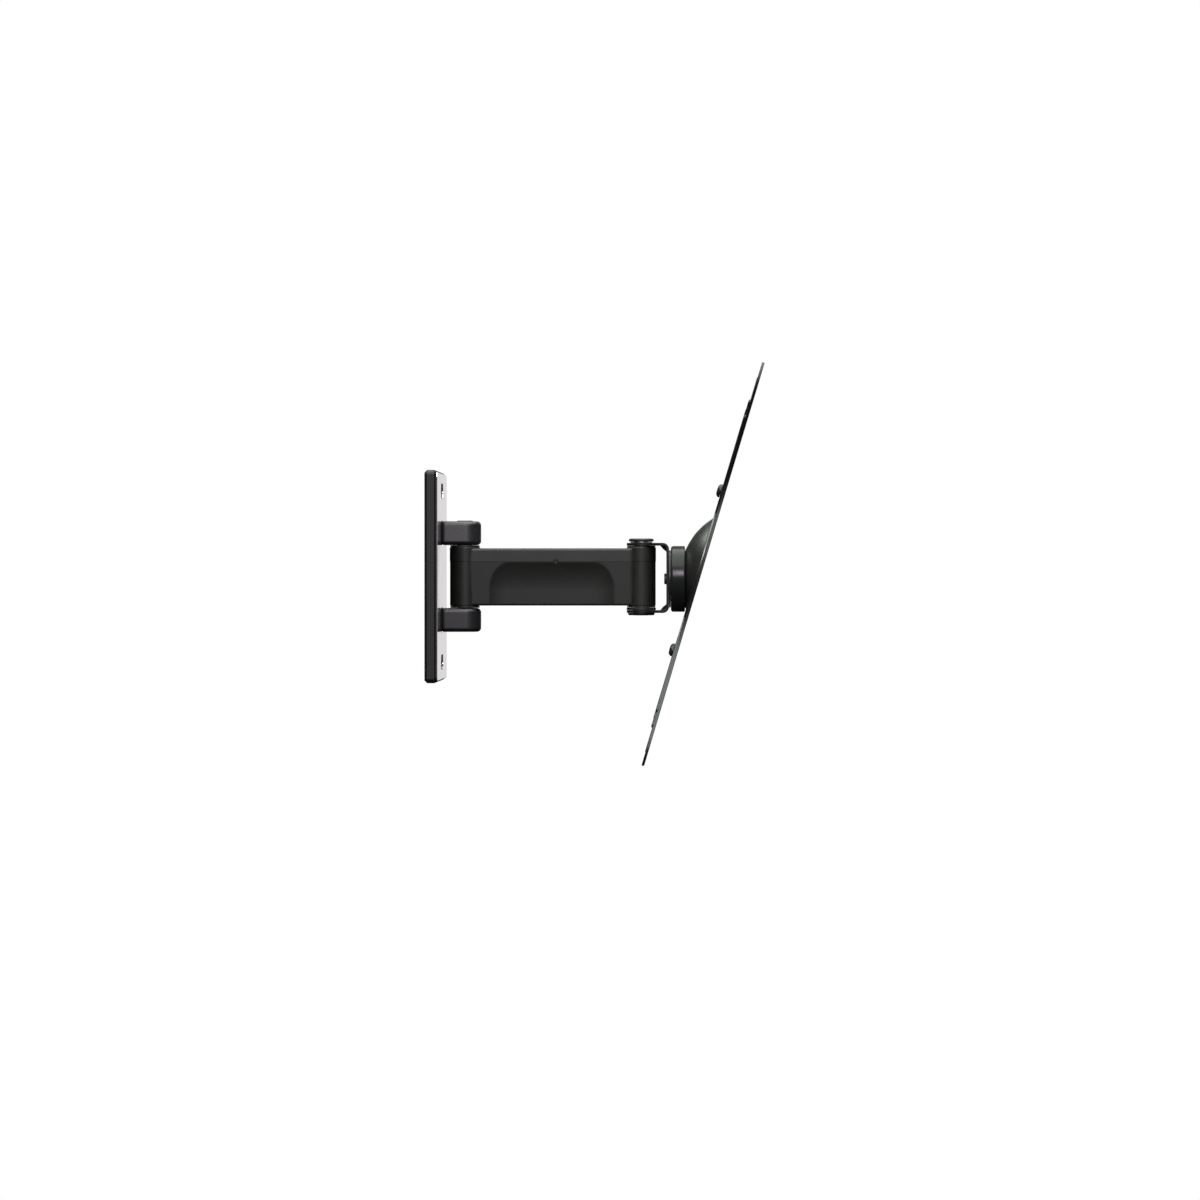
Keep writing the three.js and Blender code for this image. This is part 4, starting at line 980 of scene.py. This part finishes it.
def pivot_bolt():
    """The pivot bolt with its low cap and hexagon socket."""
    low, high = size_in(AT_HEAD_PIVOT, "head_pivot_bolt")
    cap = high.x
    seat = size_in(AT_HEAD_PIVOT, "head_washer")[1].z + 0.1
    made = turned("HeadPivotBolt", [
        (0, low.z, 0), (HEAD_BOLT, low.z, 0.5), (HEAD_BOLT, seat, 0.1), (cap - 0.25, seat, 0.1),
        (cap, seat + 0.35, 0.2), (cap, high.z - 0.45, 0.25), (cap - 0.8, high.z, 0.4), (0, high.z, 0),
    ], AT_HEAD_PIVOT, 128)
    socket = plate("socket", [hexagon(SOCKET_FLATS)], high.z - 1.0, high.z + PAST, AT_HEAD_PIVOT)
    lip = turned("lip", [
        (0, high.z + PAST, 0), (4.4, high.z + PAST, 0), (2.6, high.z - 0.35, 0), (0, high.z - 0.35, 0),
    ], AT_HEAD_PIVOT, ROUND_STEPS)
    fit(combine(made, [socket, lip]), "head_pivot_bolt", BLACK_OXIDE)


def pivot_stack():
    """Washers and nut on the pivot bolt."""
    washers = (("HeadWasher", "head_washer", ZINC), ("HeadLowerWasher", "head_lower_washer", BUSH))
    for name, node, finish in washers:
        low, high = size_in(AT_HEAD_PIVOT, node)
        ring = tube(HEAD_BOLT + RUNNING_GAP, high.x, low.z, high.z, 0.2)
        fit(turned(name, ring, AT_HEAD_PIVOT), node, finish)
    low, high = size_in(AT_HEAD_PIVOT, "head_pivot_nut")
    fit(turned("HeadPivotNut", [
        (HEAD_BOLT + 0.1, low.z, 0.15), (high.x - 0.6, low.z, 0.2), (high.x, low.z + 0.6, 0.2),
        (high.x, high.z, 0.1), (HEAD_BOLT + 0.1, high.z, 0.1),
    ], AT_HEAD_PIVOT), "head_pivot_nut", BLACK_OXIDE)


pivot_bolt()
pivot_stack()

# %% [markdown]
# ## Stud, disc and clamp
#
# All of these are turned about the stud. The disc's hollow seat and the saddle's round back share the
# dome's centre, which is what lets the dome slide between them.

# %% Disc and clamp
DOME_OUTER = 38.2
DOME_WALL = 2.0
STUD = 2.9
SEAT_GAP = 0.15
SPRING, NUT_FLATS = 0.5, 10.0
DISC_CORNER = 1.4


def sphere_arc(radius, start, end, steps):
    """Profile points on a sphere about the frame's origin, from one distance off the axis to another."""
    angles = spaced(math.asin(start / radius), math.asin(end / radius), steps)
    return [(radius * math.sin(a), radius * math.cos(a), 0) for a in angles]


def swivel_disc():
    """The disc that the dome slides on."""
    low, high = size_in(STUD_FRAME, "swivel_disc")
    rim, bore, seat = high.x, STUD + RUNNING_GAP, DOME_OUTER + SEAT_GAP
    mouth = math.sqrt(seat ** 2 - low.z ** 2)
    made = turned("SwivelDisc", [
        *sphere_arc(seat, bore, mouth, 24), (mouth + 0.25, low.z, 0.1), (rim, low.z, DISC_CORNER),
        (rim, high.z - 0.8, 0.4), (rim - 0.8, high.z, 0.4), (bore, high.z, 0.1),
    ], STUD_FRAME, 160)
    fit(made, "swivel_disc", DISC)


def clamp_stack():
    """Friction washer, stud, saddle, spring and lock nut."""
    bore = STUD + RUNNING_GAP
    low, high = size_in(STUD_FRAME, "friction_washer")
    fit(turned("FrictionWasher", tube(bore, high.x, low.z, high.z), STUD_FRAME), "friction_washer", BUSH)
    low, high = size_in(STUD_FRAME, "tilt_stud")
    stud = [(0, low.z, 0), (STUD, low.z, 0.4), (STUD, high.z, 0.5), (0, high.z, 0)]
    fit(turned("TiltStud", stud, STUD_FRAME, ROUND_STEPS), "tilt_stud", BLACK_OXIDE)
    low, high = size_in(STUD_FRAME, "saddle_washer")
    saddle = sphere_arc(DOME_OUTER - DOME_WALL - SEAT_GAP, bore, high.x, 12)
    fit(turned("SaddleWasher", [*saddle, (high.x, low.z, 0.2), (bore, low.z, 0.1)], STUD_FRAME),
        "saddle_washer", ZINC)
    low, high = size_in(STUD_FRAME, "disc_spring")
    spring = [(high.x, high.z, 0.1), (high.x, high.z - SPRING, 0.1),
              (bore, low.z, 0.1), (bore, low.z + SPRING, 0.1)]
    fit(turned("DiscSpring", spring, STUD_FRAME), "disc_spring", ZINC)
    low, high = size_in(STUD_FRAME, "lock_nut")
    nut = plate("LockNut", [hexagon(NUT_FLATS)], low.z, high.z, STUD_FRAME)
    ends = turned("ends", [
        (0, low.z - PAST, 0), (4.2, low.z - PAST, 0), (6.2, low.z + 0.55, 0), (6.2, high.z - 0.55, 0),
        (4.2, high.z + PAST, 0), (0, high.z + PAST, 0),
    ], STUD_FRAME)
    nut = combine(nut, [ends], "INTERSECT")
    fit(combine(nut, [drill(STUD + 0.1, low.z, high.z, STUD_FRAME, 0.3)]), "lock_nut", ZINC)


swivel_disc()
clamp_stack()

# %% [markdown]
# ## Dome
#
# The dome is pressed from thick sheet. Its flange spreads the load on the plate, four ears reach out to
# its screws, and the slot up its middle lets it slide past the stud as the screen tilts.

# %% Dome
dome_low, dome_high = size_in(HEAD_FRAME, "tilt_dome")
FLANGE_LOW = dome_low.z
FLANGE_THICK = 0.9
EAR = 6.0
SCREW_HOLE = 1.7
DOME_SLOT = 6.6
screw_sizes = {node: size_in(HEAD_FRAME, node) for node in nodes_named("dome_screw")}
screw_centres = [((low.x + high.x) / 2, (low.y + high.y) / 2) for low, high in screw_sizes.values()]


def tilt_dome():
    """The pressed dome with its flange, ears and slot."""
    top = FLANGE_LOW + FLANGE_THICK
    inner = DOME_OUTER - DOME_WALL
    foot, inner_foot = math.sqrt(DOME_OUTER ** 2 - top ** 2), math.sqrt(inner ** 2 - FLANGE_LOW ** 2)
    made = turned("TiltDome", [
        *sphere_arc(DOME_OUTER, 0, foot - 0.12, 40), (foot + 0.15, top + 0.06, 0.1), (dome_high.x, top, 0.3),
        (dome_high.x, FLANGE_LOW, 0.1), (inner_foot + 0.3, FLANGE_LOW, 0.2),
        *reversed(sphere_arc(inner, 0, inner_foot - 0.2, 32)),
    ], HEAD_FRAME, 160)
    ears = []
    holes = []
    for x, y in screw_centres:
        reach = math.hypot(x, y) - dome_high.x + 3 * EAR
        middle = math.hypot(x, y) + EAR - reach / 2
        heading = math.atan2(y, x)
        outline = obround(reach, 2 * EAR, (middle * math.cos(heading), middle * math.sin(heading)), heading)
        ears.append(plate("ear", [outline], FLANGE_LOW, top, HEAD_FRAME, 0.22, 2))
        holes.append(drill(SCREW_HOLE, FLANGE_LOW, top, moved(HEAD_FRAME, x, y), 0.1))
    half_length = DOME_OUTER * math.sin(LEAN) + STUD + 0.5
    slot = plate("slot", [obround(2 * half_length, DOME_SLOT, heading=math.pi / 2)], 20, 50, HEAD_FRAME)
    combine(made, ears, "UNION")
    fit(combine(made, [slot, *holes]), "tilt_dome", DOME_COAT)


tilt_dome()

# %% [markdown]
# Pan-head screws with cross recesses hold the dome down.

# %% Dome screws
THREAD, HEAD_HEIGHT = 1.6, 2.3


def dome_screws():
    """The four pan-head screws on the dome's ears."""
    for (node, (low, high)), centre in zip(screw_sizes.items(), screw_centres):
        place = moved(HEAD_FRAME, *centre)
        head = (high.x - low.x) / 2
        seat = high.z - HEAD_HEIGHT
        screw = turned("DomeScrew" + node[-1], [
            (0, low.z, 0), (THREAD, low.z, 0.3), (THREAD, seat, 0.05), (head, seat, 0.1),
            (head, seat + 1.0, 0.6), (head - 1.1, high.z - 0.15, 0.8), (0, high.z, 0),
        ], place, ROUND_STEPS)
        recess = cross_recess(1.3, 3.2, moved(place, 0, 0, high.z))
        fit(combine(screw, [recess]), node, BLACK_OXIDE)


dome_screws()

# %% [markdown]
# ## Mounting plate
#
# One sheet, blanked in a single stroke: a round hub and four arms that end at the corners of the
# screen's hole pattern. Two beads are pressed along each arm. The outline is one closed line of arcs,
# with a fillet where each arm leaves the hub.

# %% Mounting plate
HUB, FILLET, ARM_HALF = 61.0, 25.0, 9.0
CENTRE_HOLE, SCREEN_HOLE = 22.0, 2.6
PATTERNS = (75, 100, 200)
BEAD_FROM, BEAD_TO, BEAD_OFFSET = 63.0, 119.8, 6.1
BEAD_WIDTH, BEAD_HEIGHT, BEAD_ROOT, BEAD_EDGE = 2.6, 1.0, 1.2, 0.85
SHEET, SHEET_EDGE = 1.4, 0.3
PLATE_FACE = size_in(HEAD_FRAME, "screen_plate")[0].z + SHEET


def plate_outline():
    """The hub and four arms as one closed line."""
    tip = max(PATTERNS) / math.sqrt(2)
    along = math.sqrt((HUB + FILLET) ** 2 - (ARM_HALF + FILLET) ** 2)
    spread = math.atan2(ARM_HALF + FILLET, along)
    points = []
    for number in range(4):
        heading = math.pi / 4 + number * math.pi / 2
        turn = Matrix.Rotation(heading, 2)
        before = turn @ Vector((along, -ARM_HALF - FILLET))
        after = turn @ Vector((along, ARM_HALF + FILLET))
        quarter = math.pi / 2
        points += arc(before, FILLET, heading - spread + math.pi, heading + quarter, 20)
        points += arc(turn @ Vector((tip, 0)), ARM_HALF, heading - quarter, heading + quarter, 24)
        points += arc(after, FILLET, heading - quarter, heading + spread - math.pi, 20)
        points += arc((0, 0), HUB, heading + spread, heading + quarter - spread, 24)[1:-1]
    return points


def screen_plate():
    """The blanked plate with its beads."""
    holes = [circle(CENTRE_HOLE, steps=96)]
    for pattern in PATTERNS:
        for x in (-pattern / 2, pattern / 2):
            holes += [circle(SCREEN_HOLE, (x, y), 32) for y in (-pattern / 2, pattern / 2)]
    holes += [circle(SCREW_HOLE, centre, 24) for centre in screw_centres]
    made = plate("ScreenPlate", [plate_outline(), *holes], PLATE_FACE - SHEET, PLATE_FACE, HEAD_FRAME,
                 SHEET_EDGE)
    beads = []
    for number in range(4):
        heading = math.pi / 4 + number * math.pi / 2
        turn = Matrix.Rotation(heading, 2)
        for hand in (-1, 1):
            middle = turn @ Vector(((BEAD_FROM + BEAD_TO) / 2, hand * BEAD_OFFSET))
            outline = obround(BEAD_TO - BEAD_FROM, BEAD_WIDTH, middle, heading)
            beads.append(plate("bead", [outline], PLATE_FACE - BEAD_ROOT, PLATE_FACE + BEAD_HEIGHT,
                               HEAD_FRAME, BEAD_EDGE, 5))
    fit(combine(made, beads, "UNION"), "screen_plate", SCREEN_COAT)


screen_plate()

# %% [markdown]
# ## Studio
#
# A white backdrop all round, a pale floor well below, and four soft panels. A wide one overhead does
# most of the work. A smaller one stands high on the camera's side, and its reflection makes the narrow
# highlights on the blocks and barrels. A weak one on the far side is what the light cover mirrors at a
# flat angle. The last is a card in front of the cover that lights nothing else: brushed metal is as
# bright as what stands in front of it, and the black pieces would turn grey beside a card that large.

# %% Floor, light and backdrop
FLOOR_Z = -0.5
FLOOR_HALF = 1.25


def studio_floor():
    """A plain pale floor under the mount."""
    mesh = bmesh.new()
    bmesh.ops.create_grid(mesh, x_segments=1, y_segments=1, size=FLOOR_HALF)
    floor = as_object("Floor", mesh, Matrix.Translation((0, -0.1, FLOOR_Z)))
    paint = Finish("floor_paint")
    shade = paint.blend(paint.noise(60, 2), (0.86, 0.86, 0.86, 1), (0.90, 0.90, 0.90, 1))
    floor.data.materials.append(paint.set(Base_Color=shade, Roughness=0.8))
    floor.visible_glossy = False
    floor.visible_diffuse = False


def panel(name, place, target, size, power, colour, only=None):
    """A soft light that faces a target. It lights everything, or only the piece that is given."""
    light = bpy.data.lights.new(name, "AREA")
    light.shape = "RECTANGLE"
    light.size, light.size_y = size
    light.energy = power
    light.color = colour
    made = bpy.data.objects.new(name, light)
    made.location = place
    made.rotation_euler = (Vector(target) - Vector(place)).to_track_quat("-Z", "Y").to_euler()
    made.visible_camera = False
    bpy.context.scene.collection.objects.link(made)
    if only:
        lit = bpy.data.collections.new(name + "Lit")
        lit.objects.link(bpy.data.objects[only])
        made.light_linking.receiver_collection = lit


def backdrop():
    """White to the camera, and a dim room to everything else."""
    world = bpy.data.worlds.new("Backdrop")
    world.use_nodes = True
    nodes, links = world.node_tree.nodes, world.node_tree.links
    nodes.clear()
    white, room = nodes.new("ShaderNodeBackground"), nodes.new("ShaderNodeBackground")
    white.inputs["Color"].default_value = (1, 1, 1, 1)
    room.inputs["Color"].default_value = (0.95, 1, 0.95, 1)
    room.inputs["Strength"].default_value = 0.02
    seen = nodes.new("ShaderNodeLightPath")
    choice, output = nodes.new("ShaderNodeMixShader"), nodes.new("ShaderNodeOutputWorld")
    links.new(seen.outputs["Is Camera Ray"], choice.inputs[0])
    links.new(room.outputs[0], choice.inputs[1])
    links.new(white.outputs[0], choice.inputs[2])
    links.new(choice.outputs[0], output.inputs[0])
    bpy.context.scene.world = world


MIDDLE = (CAD_BOX[0] + CAD_BOX[1]) / 2
studio_floor()
backdrop()
panel("Overhead", (-0.18, 0.1, 1.25), (-0.18, 0.1, 0), (2.3, 2.4), 66, (0.93, 1.0, 0.94))
panel("AboveCamera", (-2.50, -0.20, 0.95), MIDDLE, (0.60, 0.55), 29, (1.0, 0.93, 1.0))
panel("FarSide", (2.3, -0.55, 0.35), MIDDLE, (1.8, 1.0), 4.1, (1.0, 0.97, 0.985))
panel("CoverCard", (0, -1.9, -0.35), MIDDLE, (5.0, 3.4), 32, (1.0, 0.98, 1.0), "FaceCover")

# %% [markdown]
# ## Camera
#
# A long lens from well off to the side, level with the arm, so the mount is seen almost in profile.

# %% Camera
CAMERA_FROM = Vector((-2.75, -0.140, 0.0003))
CAMERA_TO = Vector((0, -0.0918, -0.0126))
FOCAL_LENGTH = 153.5


def camera():
    """The camera in profile."""
    lens = bpy.data.cameras.new("Camera")
    lens.lens = FOCAL_LENGTH
    lens.sensor_width = 36
    lens.clip_end = 50
    made = bpy.data.objects.new("Camera", lens)
    made.location = CAMERA_FROM
    made.rotation_euler = (CAMERA_TO - CAMERA_FROM).to_track_quat("-Z", "Y").to_euler()
    bpy.context.scene.collection.objects.link(made)
    bpy.context.scene.camera = made
    bpy.context.scene.view_settings.view_transform = "Standard"


camera()
